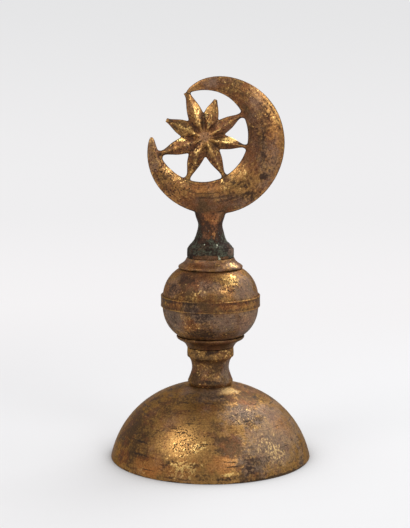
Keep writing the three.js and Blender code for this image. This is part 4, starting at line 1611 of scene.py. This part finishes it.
@dataclass
class Girdle(Turned):
    """The flat band over the seam of the ball."""

    height: float = 6.9
    rise: float = 1.15
    thickness: float = 0.7

    def outline(self) -> np.ndarray:
        """Gives the closed profile.

        Returns:
            Its points in mm.
        """
        low = Ball.CENTRE + self.rise - self.height / 2
        high = low + self.height
        outer, inner = Ball.RADIUS + GAP + self.thickness, Ball.RADIUS - 0.25
        return np.array([
            (inner, low), (outer - 0.3, low), (outer, low + 0.35), (outer - 0.12, low + 1.2),
            (outer - 0.15, high - 1.2), (outer, high - 0.35), (outer - 0.3, high), (inner, high),
        ])


@dataclass(frozen=True)
class Ray:
    """One ray of the star.

    Attributes:
        angle: Its direction in degrees.
        tip: The width of its tip in mm.
        valley: The distance of the valley after it from the star's centre.
        flare: How far it widens at the crescent, after and before it.
        short: How far a free ray stops from the crescent, or 0 for one that joins it.
    """

    angle: float
    tip: float
    valley: float
    flare: tuple[float, float] = (0.0, 0.0)
    short: float = 0.0

    @property
    def direction(self) -> np.ndarray:
        """Returns its direction as a vector of length 1."""
        turn = math.radians(self.angle)
        return np.array([math.cos(turn), math.sin(turn)])


@dataclass
class Casting:
    """The crescent with its stem and the star that is brazed into it.

    Each row of the arm is an angle, the distance of the inner edge from the arc, and the width.
    """

    name: str
    slot: str
    finish: GiltFinish
    arc: float = 26.6
    centre: tuple[float, float] = (-5.03, 191.48)
    star_offset: tuple[float, float] = (1.66, -0.88)
    stem_bottom: float = 126.38
    arm: tuple[tuple[float, float, float], ...] = (
        (109, -0.2, 1.5), (104, 0.0, 3.0), (88, 0.5, 6.6), (60, 1.0, 11.6), (20, 0.5, 19.1),
        (-15, 0.3, 22.3), (-50, 0.1, 22.3), (-80, -0.1, 19.9), (-110, -0.2, 15.8), (-140, -0.1, 11.1),
        (-165, 0.5, 6.1), (-175, 1.2, 3.6), (-179.5, 2.2, 1.4),
    )
    rays: tuple[Ray, ...] = (
        Ray(111.4, 4.0, 14.5, (-0.2, 0.2)),
        Ray(74.2, 3.6, 13.0, (-0.9, -0.9), short=4.4),
        Ray(32.6, 2.8, 11.6, (2.8, 0.8)),
        Ray(-11.2, 2.0, 10.7, (2.0, 0.8)),
        Ray(-62.8, 2.6, 10.5, (1.0, 1.6)),
        Ray(-113.2, 2.8, 12.8, (2.0, 1.2)),
        Ray(-161.0, 3.0, 13.6, (1.8, 4.0)),
        Ray(-205.4, 3.2, 13.6, (-0.4, -0.4), short=5.7),
    )

    VOXEL = 0.395
    OPEN_ANGLE = 144.0
    ARM_RINGS = 320
    STEM_FLATS = 96
    STEM_TOP = 26.0
    OVERLAP = 0.9
    EDGE_DEPTH = 0.9
    HUB_STEPS = 6
    HUB_JOINT = 4.0
    RAY_JOINT = 2.8
    CROTCH = 20.25
    STEM_JOINT = 7.0
    STEM_REACH = 16.0
    LEVEL_WIDTH = 20

    @property
    def hub(self) -> np.ndarray:
        """Returns the X and Z of the star's centre in mm."""
        return np.array(self.centre) + self.star_offset

    def around(self, x: np.ndarray | float, z: np.ndarray | float) -> np.ndarray:
        """Returns the angle of a place round the arc's centre, in degrees down from the arm's opening."""
        angle = np.degrees(np.arctan2(z, x))
        return np.where(angle > self.OPEN_ANGLE, angle - 360, angle)

    def arm_at(self, angle: float) -> tuple[float, float]:
        """Gives the arm's inner edge and width at an angle.

        Args:
            angle: The angle in degrees.

        Returns:
            The distance of its inner edge from the arc's centre, and its width.
        """
        keys = np.array(self.arm, float)
        last = len(keys) - 1
        k = 0
        while k < last - 1 and keys[k + 1, 0] > angle:
            k += 1
        span = keys[k + 1, 0] - keys[k, 0]
        t = (angle - keys[k, 0]) / span

        def slope(i: int) -> np.ndarray:
            """Returns how fast the values change at a key."""
            before, after = keys[max(i - 1, 0)], keys[min(i + 1, last)]
            return (after[1:] - before[1:]) / (after[0] - before[0])

        blend = t * t * (3 - 2 * t)
        values = keys[k, 1:] * (1 - blend) + keys[k + 1, 1:] * blend
        values = values + slope(k) * span * t * (1 - t) ** 2 + slope(k + 1) * span * t * t * (t - 1)
        return self.arc + values[0], values[1]

    def reach(self, direction: np.ndarray, aside: float = 0.0) -> float:
        """Gives the distance from the star's centre to the crescent.

        Args:
            direction: The ray's direction.
            aside: How far beside the ray it is measured.

        Returns:
            The distance in mm.
        """
        start = np.array(self.star_offset) + np.array([-direction[1], direction[0]]) * aside
        along = float(start @ direction)
        reach = self.arc
        for _ in range(4):
            angle = self.around(*(start + direction * reach))
            edge = self.arm_at(float(np.clip(angle, self.arm[-1][0], self.arm[0][0])))[0]
            reach = math.sqrt(edge ** 2 - float(start @ start) + along ** 2) - along
        return reach

    def crescent(self) -> Piece:
        """Lofts the arm of the crescent.

        Returns:
            The arm.
        """
        rings = []
        for angle in np.linspace(self.arm[0][0], self.arm[-1][0], self.ARM_RINGS):
            inner, width = self.arm_at(angle)
            edge = min(1.1, 0.7 + 0.05 * width)
            swell = 0.15 * width
            front = Profile.through([
                (0, edge), (0.18 * width, edge + 0.58 * swell), (0.38 * width, edge + swell),
                (0.72 * width, edge + 0.68 * swell), (width, edge),
            ], 20)
            outline = np.concatenate([front, front[::-1] * (1, -1)])
            outline = Profile.softened(outline, min(0.9, width * 0.3), 40.0)
            turn = math.radians(angle)
            away = inner + outline[:, 0]
            rings.append(np.stack([
                self.centre[0] + away * math.cos(turn), outline[:, 1], self.centre[1] + away * math.sin(turn),
            ], 1))
        return Worked.lofted("arm", np.array(rings))

    def stem(self) -> Piece:
        """Makes the stem, round at its foot and flat at its top.

        Returns:
            The stem.
        """
        side = Profile.through([
            (12.3, 1.2), (9.6, 4.5), (8.05, 9.0), (7.2, 13.8), (9.0, 19.6), (9.0, self.STEM_TOP),
        ], 60)
        radius, height = np.concatenate([
            [(0.01, -GAP), (11.8, -GAP), (12.2, 0.3)], side, [(0.01, self.STEM_TOP)],
        ]).T
        turn = np.linspace(0, 2 * math.pi, self.STEM_FLATS, endpoint=False)
        rise = np.clip((height - 9.0) / 14.1, 0, 1)
        flat = 1 - 0.68 * rise ** 2 * (3 - 2 * rise)
        shift = np.interp(height, (0.0, 9.0, 20.0), (-0.35, -0.1, -0.2))
        return Worked.lofted("stem", np.stack([
            np.outer(radius, np.cos(turn)) + shift[:, None],
            np.outer(radius * flat, np.sin(turn)),
            np.outer(height + self.stem_bottom, np.ones(self.STEM_FLATS)),
        ], 2))

    def star(self) -> Piece:
        """Makes the star with a ridge along each ray.

        Returns:
            The star.
        """
        count = len(self.rays)
        triangles: list[np.ndarray] = []

        def both(a: np.ndarray, b: np.ndarray, c: np.ndarray) -> None:
            """Adds a triangle to the front and to the back."""
            triangles.append(np.array([a, b, c]))
            triangles.append(np.array([b, a, c]) * (1, -1, 1))

        def wall(a: np.ndarray, b: np.ndarray) -> None:
            """Adds a piece of the outer wall between two points of the front."""
            triangles.append(np.array([a, b, a * (1, -1, 1)]))
            triangles.append(np.array([b, b * (1, -1, 1), a * (1, -1, 1)]))

        for i, ray in enumerate(self.rays):
            direction = ray.direction
            aside = np.array([-direction[1], direction[0]])
            over = 0.0 if ray.short else self.OVERLAP
            length = self.reach(direction) - ray.short + over

            def place(row: Sequence[float]) -> np.ndarray:
                """Turns a distance along the ray, one beside it and a depth into a point."""
                x, z = self.hub + direction * row[0] + aside * row[1]
                return np.array([x, -row[2], z])

            def side(neighbour: Ray, valley: float, way: int, flare: float) -> np.ndarray:
                """Gives the foot of one facet, from the hub along the valley and out to the tip.

                Args:
                    neighbour: The ray across the valley.
                    valley: The valley's distance from the hub.
                    way: The side of the ray, 1 or -1.
                    flare: How far the ray widens there.

                Returns:
                    Distances along the ray and beside it, and depths.
                """
                gap = (neighbour.angle - ray.angle + 180) % 360 - 180
                half = math.radians(gap / 2)
                root = np.array([valley * math.cos(half), valley * math.sin(half), self.EDGE_DEPTH])
                down = Profile.through([(0, 0, 2.6), root * (0.4, 0.4, 1.9), root], self.HUB_STEPS)
                near = np.array([length - over - 2.2, way * ray.tip / 2, self.EDGE_DEPTH])
                swell = root * 0.55 + near * 0.45 + (0, way * 0.45, 0)
                corner = way * (ray.tip / 2 + flare)
                last = (self.reach(direction, corner) - ray.short + over, corner, self.EDGE_DEPTH)
                return np.concatenate([down, Profile.through([root, swell, near, last], 12)[1:]])

            after, before = self.rays[(i + 1) % count], self.rays[i - 1]
            feet = (side(after, ray.valley, -1, ray.flare[0]), side(before, before.valley, 1, ray.flare[1]))
            share = np.linspace(0, 1, len(feet[0]))
            depth = np.interp(share, (0, 0.3, 1), (2.5, 4.1, 1.5))
            ridge = [place((length * t, 0.0, d)) for t, d in zip(share, depth)]
            for foot, flip in zip(feet, (False, True)):
                line = [place(row) for row in foot]
                for k in range(len(line) - 1):
                    quad = [ridge[k], line[k], line[k + 1], ridge[k + 1]]
                    quad = quad[::-1] if flip else quad
                    both(quad[0], quad[1], quad[2])
                    both(quad[0], quad[2], quad[3])
                    if k >= self.HUB_STEPS:
                        wall(*((line[k + 1], line[k]) if flip else (line[k], line[k + 1])))
                ends = (line[-1], ridge[-1])
                wall(*(ends[::-1] if flip else ends))
        points = np.concatenate(triangles)
        piece = Worked.mesh("star", points, [(k, k + 1, k + 2) for k in range(0, len(points), 3)])
        piece.modifiers.new("weld", "WELD").merge_threshold = 0.01 * MM
        return Worked.baked(piece, "star")

    def levels(self, places: np.ndarray) -> np.ndarray:
        """Gives how far each place lies across the arm, in mm of an arm 20 mm wide.

        Args:
            places: The places in mm.

        Returns:
            The level of each place.
        """
        keys = np.arange(self.arm[-1][0], self.arm[0][0] + 1.0, 2.0)
        inner, width = np.array([self.arm_at(angle) for angle in keys]).T
        x, z = places[:, 0] - self.centre[0], places[:, 2] - self.centre[1]
        angle = self.around(x, z)
        beyond = np.hypot(x, z) - np.interp(angle, keys, inner)
        width = np.interp(angle, keys, width)
        level = np.where(beyond > width, self.LEVEL_WIDTH + beyond - width, self.LEVEL_WIDTH * beyond / width)
        return np.where(beyond < 0, 0.15 * beyond, level)

    def softness(self, places: np.ndarray) -> np.ndarray:
        """Gives how much the casting is smoothed where its parts were joined.

        Args:
            places: The places in metres.

        Returns:
            A share from 0 to 1 for each place.
        """
        joined = [ray.direction for ray in self.rays if not ray.short]
        joints = [(self.hub, self.HUB_JOINT)]
        joints += [(self.hub + direction * self.reach(direction), self.RAY_JOINT) for direction in joined]
        soft = np.zeros(len(places))
        for (x, z), radius in joints:
            away = np.hypot(places[:, 0] - x * MM, places[:, 2] - z * MM) / (radius * MM)
            soft = np.maximum(soft, np.clip(1.3 - away, 0, 1) * 0.7)
        crotch = self.stem_bottom + self.CROTCH
        away = np.abs(places[:, 2] - crotch * MM) / (self.STEM_JOINT * MM)
        near_stem = np.abs(places[:, 0]) < self.STEM_REACH * MM
        return np.maximum(soft, np.where(near_stem, np.clip(1.2 - away, 0, 1) * 0.6, 0))

    def build(self, making: Making) -> Piece:
        """Joins the arm, the stem and the star into one worn casting.

        Args:
            making: The shared node groups.

        Returns:
            The finished object.
        """
        parts = [Worked.outwards(part) for part in (self.crescent(), self.stem(), self.star())]
        with bpy.context.temp_override(active_object=parts[0], selected_editable_objects=parts):
            bpy.ops.object.join()
        remesh = parts[0].modifiers.new("remesh", "REMESH")
        remesh.mode = "VOXEL"
        remesh.voxel_size = self.VOXEL * MM
        piece = Worked.baked(parts[0], self.name + "_draft")
        data = piece.data
        places, edges = Worked.places(data), Worked.edges(data)
        soft = self.softness(places)
        places = Worked.eased(places, edges, 2)
        places = Worked.eased(places, edges, 18, soft)
        data.vertices.foreach_set("co", places.astype(np.float32).ravel())
        piece = Worked.shaped(piece, making.wearing, {
            "Sway": 0.10 * MM, "Sway Size": 9 * MM, "Ripple": 0.07 * MM, "Ripple Size": 2.2 * MM,
            "Dents": 1500.0, "Dent Depth": 0.12 * MM, "Dent Width": 1.0 * MM, "Seed": 4,
            "Material": self.finish.material(making.effects),
        }, self.name)
        # The casting's side faces count deeper: painted shade along its edges
        Worked.mark_relief(piece, rounds=36, full=0.4, painted_side_shade=1.2)
        Worked.store(piece.data, Worked.LEVEL, self.levels(Worked.places(piece.data) / MM) * MM)
        return Worked.handed(piece, self.slot, "crescent", "star")


@dataclass
class Corrosion:
    """Grains of crust round the foot of the casting.

    Attributes:
        name: The piece's name.
        slot: The material slot of the record.
        finish: Its finish.
        bottom: The lowest height of the grains in mm.
        top: The highest.
        inner: Their least distance from the axis in mm.
        density: How many there are in a square metre.
        clumping: How much they keep to clumps, from 0 to 1.
        grain: Their radius in mm.
        spots: The only places with grains in mm, or none where they may be anywhere.
        reach: How far the grains spread round a spot, in mm.
    """

    name: str
    slot: str
    finish: CrustFinish
    bottom: float = 122.0
    top: float = 137.0
    inner: float = 7.0
    density: float = 260000.0
    clumping: float = 1.0
    grain: float = 0.28
    spots: tuple[Place, ...] = ()
    reach: float = 1.0

    def build(self, making: Making, hosts: Sequence[Piece]) -> Piece:
        """Sprinkles the grains over the hosts' faces between two heights.

        Args:
            making: The shared node groups.
            hosts: The pieces they grow on.

        Returns:
            The finished object.
        """
        points, faces, start = [], [], 0
        for host in hosts:
            places = Worked.places(host.data)
            near = (places[:, 2] > self.bottom * MM) & (places[:, 2] < self.top * MM)
            near &= np.hypot(places[:, 0], places[:, 1]) > self.inner * MM
            if self.spots:
                away = [np.linalg.norm(places - np.array(spot) * MM, axis=1) for spot in self.spots]
                near &= np.min(away, axis=0) < self.reach * MM
            for face in host.data.polygons:
                if all(near[i] for i in face.vertices):
                    faces.append(tuple(range(start, start + len(face.vertices))))
                    points.extend(places[i] for i in face.vertices)
                    start += len(face.vertices)
        draft = Worked.mesh(self.name + "_host", np.array(points) / MM, faces)
        piece = Worked.shaped(draft, making.sprinkling, {
            "Density": self.density, "Clumping": self.clumping, "Grain": self.grain * MM,
            "Material": self.finish.material(),
        }, self.name)
        return Worked.handed(piece, self.slot)


@dataclass
class Fastening:
    """The iron rod that holds the stack together, with its washer and its nut. Sizes are in mm."""

    slot: str
    finish: IronFinish
    rod: float = 3.0
    low: float = 32.64
    high: float = 139.08
    thread: float = 10.0
    washer_bottom: float = 40.44
    washer_height: float = 1.6
    washer_radius: float = 11.0
    nut_bottom: float = 34.64
    nut_height: float = 5.5
    nut_half: float = 5.5
    nut_corner: float = 4.5

    def build(self, making: Making) -> list[Piece]:
        """Makes the rod, the washer and the nut.

        Args:
            making: The shared node groups.

        Returns:
            The finished objects.
        """
        material = self.finish.material()
        return [self._rod(making, material), self._washer(material), self._nut(material)]

    def _disc(self, name: str, rings: Sequence[tuple[float, float]], flats: int) -> Piece:
        """Makes a closed body of level rings.

        Args:
            name: Its name.
            rings: The radius and height of each ring in mm.
            flats: The number of faces round it.

        Returns:
            The object.
        """
        turn = np.linspace(0, 2 * math.pi, flats, endpoint=False)
        return Worked.outwards(Worked.lofted(name, np.array([
            np.stack([radius * np.cos(turn), radius * np.sin(turn), np.full(flats, height)], 1)
            for radius, height in rings
        ])))

    def _rod(self, making: Making, material: Material) -> Piece:
        """Makes the rod with its thread.

        Args:
            making: The shared node groups.
            material: Its material.

        Returns:
            The rod.
        """
        root, end = self.rod - 0.25, self.low + self.thread + 1.0
        body = self._disc("rod_body", [
            (root - 0.5, self.low), (root, self.low + 0.5), (root, end), (self.rod, end + 0.4),
            (self.rod, self.high - 0.6), (self.rod - 0.6, self.high),
        ], 48)
        piece = Worked.shaped(body, making.threading, {
            "Radius": root * MM, "Bottom": (self.low + 0.6) * MM, "Length": self.thread * MM,
            "Material": material,
        }, "forged_rod")
        return Worked.handed(piece, self.slot, "tie_rod")

    def _washer(self, material: Material) -> Piece:
        """Makes the washer with its worn edges.

        Args:
            material: Its material.

        Returns:
            The washer.
        """
        low, high = self.washer_bottom, self.washer_bottom + self.washer_height
        radius, worn = self.washer_radius, 0.3
        piece = self._disc("forged_washer", [
            (ROD_HOLE, high), (radius - worn, high), (radius, high - worn), (radius, low + worn),
            (radius - worn, low), (ROD_HOLE, low),
        ], 96)
        piece.data.materials.append(material)
        return Worked.handed(piece, self.slot, "crown_washer")

    def _nut(self, material: Material) -> Piece:
        """Makes the square nut with its worn corners.

        Args:
            material: Its material.

        Returns:
            The nut.
        """
        half, cut = self.nut_half, self.nut_corner
        corners = [(half, -cut), (half, cut), (cut, half), (-cut, half),
                   (-half, cut), (-half, -cut), (-cut, -half), (cut, -half)]
        piece = Worked.lofted("nut_body", np.array([
            [(x, y, self.nut_bottom + rise) for x, y in corners] for rise in (0.0, self.nut_height)
        ]))
        bevel = piece.modifiers.new("bevel", "BEVEL")
        bevel.width = 0.5 * MM
        bevel.segments = 3
        piece = Worked.outwards(Worked.baked(piece, "forged_nut"))
        piece.data.materials.append(material)
        return Worked.handed(piece, self.slot, "rod_nut")


# Studio


@dataclass(frozen=True)
class Softbox:
    """A soft studio lamp.

    Attributes:
        name: Its name.
        place: Where it stands, in metres.
        size: The side of its square face, in metres.
        power: Its power in watts.
        tint: The colour of its light.
    """

    name: str
    place: Place
    size: float
    power: float
    tint: Place = (1.0, 1.0, 1.0)


@dataclass
class Studio:
    """The pale sweep, the lamps, which all face the target, and the camera."""

    target: Place = (0.0, 0.0, 0.1)
    lamps: tuple[Softbox, ...] = (
        Softbox("overhead", (0.40, 0.45, 0.90), 0.5, 7.5, (0.93, 0.97, 1.0)),
        Softbox("front_left", (-0.55, -0.44, 0.80), 0.4, 3.4),
        Softbox("front_right", (0.50, -0.62, 0.60), 0.35, 3.3, (0.93, 0.98, 1.0)),
        Softbox("right", (0.95, 0.15, 0.60), 0.7, 2.4, (0.88, 0.95, 1.0)),
    )
    ambient: float = 0.36

    LENS = 85.02
    SENSOR = 36.0
    TILT_DOWN = 7.88
    CAMERA_PLACE = (-0.00326, -0.7336, 0.2178)
    PAPER = srgb(218, 217, 217)
    NEAR_FLOOR = srgb(245, 243, 244)
    FAR_FLOOR = srgb(239, 238, 239)
    BACKDROP = srgb(229, 229, 230)
    # The colour of the painted contact shadow on the floor
    PAINTED_CONTACT_SHADOW = srgb(70, 64, 60)
    ROOM_LIGHT = (1.0, 0.99, 0.98, 1.0)

    def build(self) -> None:
        """Makes the whole studio."""
        self._camera()
        self._sweep()
        self._world()
        for lamp in self.lamps:
            self._lamp(lamp)

    def _camera(self) -> None:
        """Sets the camera up as the photograph's was."""
        data = bpy.data.cameras.new("camera")
        data.sensor_fit = "VERTICAL"
        data.sensor_height = self.SENSOR
        data.lens = self.LENS
        camera = Worked.linked("camera", data)
        camera.location = self.CAMERA_PLACE
        camera.rotation_euler = (math.radians(90 - self.TILT_DOWN), 0.0, 0.0)
        bpy.context.scene.camera = camera

    def _lamp(self, lamp: Softbox) -> None:
        """Adds a lamp.

        Args:
            lamp: The lamp.
        """
        data = bpy.data.lights.new(lamp.name, "AREA")
        data.size = lamp.size
        data.energy = lamp.power
        data.color = lamp.tint
        light = Worked.linked(lamp.name, data)
        light.location = lamp.place
        towards = np.array(self.target) - np.array(lamp.place)
        flat = math.hypot(towards[0], towards[1])
        light.rotation_euler = (math.pi / 2 + math.atan2(towards[2], flat), 0.0,
                                math.atan2(towards[1], towards[0]) - math.pi / 2)

    def _sweep(self) -> None:
        """Makes the floor that curves up into the backdrop. Its sizes are in metres."""
        bend = Profile.arc((1.6, 0.8), 0.8, -math.pi / 2, 0.0, 24)
        line = np.concatenate([[(-2.5, 0.0)], bend, [(2.4, 3.0)]])
        points = np.array([(x, y, z) for y, z in line for x in (-3.0, 3.0)]) / MM
        faces = [(2 * i, 2 * i + 1, 2 * i + 3, 2 * i + 2) for i in range(len(line) - 1)]
        sweep = Worked.mesh("sweep", points, faces)
        for face in sweep.data.polygons:
            face.use_smooth = True
        sweep.data.materials.append(self._paper())

    def _paper(self) -> Material:
        """Builds the sweep's material, which is brighter to the camera than to the object, and whose glow to
        the camera darkens near the object by ambient occlusion: a painted contact shadow.

        Returns:
            The material.
        """
        material = bpy.data.materials.new("sweep paper")
        w = Wiring.blank(material)
        parts = w.add("ShaderNodeSeparateXYZ", {0: w.add("ShaderNodeTexCoord").outputs["Object"]}).outputs
        low = w.mix(w.ramp(parts[1], 0.3, 1.6), self.NEAR_FLOOR, self.FAR_FLOOR)
        tone = w.mix(w.ramp(parts[2], 0.0, 0.5), low, self.BACKDROP)
        # Painted contact shadow: the glow that the camera sees darkens towards a dark brown grey where the
        # object is near
        open_sky = w.add("ShaderNodeAmbientOcclusion", {"Distance": 0.06}, samples=16).outputs["AO"]
        bright = w.new("ShaderNodeEmission", {"Color": w.mix(w.ramp(open_sky, 0.45, 1.0), self.PAINTED_CONTACT_SHADOW, tone)})
        seen = w.add("ShaderNodeLightPath").outputs
        direct = w.math("MAXIMUM", seen["Is Glossy Ray"], seen["Is Transmission Ray"])
        direct = w.math("MAXIMUM", seen["Is Camera Ray"], direct)
        far = w.times(direct, w.ramp(parts[1], 0.1, 0.55, 0.55, 1.0))
        paper = w.new("ShaderNodeBsdfDiffuse", {"Color": self.PAPER})
        w.surface(w.new("ShaderNodeMixShader", {0: far, 1: paper, 2: bright}))
        return material

    def _world(self) -> None:
        """Sets the even light of the room."""
        world = bpy.data.worlds.new("room")
        w = Wiring.blank(world)
        light = w.new("ShaderNodeBackground", {"Color": self.ROOM_LIGHT, "Strength": self.ambient})
        w.add("ShaderNodeOutputWorld", {"Surface": light})
        bpy.context.scene.world = world
        bpy.context.scene.view_settings.view_transform = "Standard"


def main() -> None:
    """Builds the studio and every piece."""
    logging.basicConfig(level=logging.INFO, format="%(name)s %(message)s")
    Studio().build()
    making = Making()
    gilt = "gilt_copper"
    brown = "brown_copper"
    green = "green_copper"
    pieces = [
        Dome("spun_dome", "dome_shell", gilt, DOME_GILDING, flats=344, rounding=0.58, seed=1),
        Neck("turned_neck", "neck_spool", brown, NECK_PATINA, seed=2),
        Collar("lower_ring", "lower_collar", brown, RING_PATINA, spigot=8.2, rounding=0.8, seed=3),
        Saucer("lower_cup", "lower_saucer", gilt, LOWER_CUP_GILDING, seed=4),
        Bowl("ball_lower_half", "lower_bowl", brown, LOWER_BALL_PATINA, seed=5),
        Girdle("ball_girdle", "girdle_band", gilt, GIRDLE_GILDING, seed=6),
        Bowl("ball_upper_half", "upper_bowl", gilt, UPPER_BALL_GILDING, upper=True, seed=7),
        Saucer("upper_cup", "upper_saucer", gilt, UPPER_CUP_GILDING, waist=120.28, side=-1, height=6.0,
               seed=8),
        Collar("upper_ring", "upper_collar", green, RING_VERDIGRIS, bottom=120.58, rounding=1.2, seed=9),
        Fillet("joint_crust", "", green, RING_VERDIGRIS, sway=0.5, ripple=0.35, dents=0.0, rounding=0.3,
               seed=10),
    ]
    *_, cup, ring, _ = [piece.build(making) for piece in pieces]
    casting = Casting("crescent_and_star", gilt, CASTING_GILDING).build(making)
    hosts = [ring, cup, casting]
    Corrosion("crust_grains", green, GREEN_CRUST).build(making, hosts)
    spots = ((-3.3, -10.6, 129.8), (3.7, -10.9, 128.2), (5.2, -13.0, 121.6), (4.4, -11.2, 127.6))
    Corrosion("pale_crystals", green, PALE_CRYSTALS, bottom=118.0, density=1500000.0, clumping=0.0,
              grain=0.5, spots=spots).build(making, hosts)
    Fastening("iron", IronFinish("forged iron")).build(making)


if __name__ == "__main__":
    main()
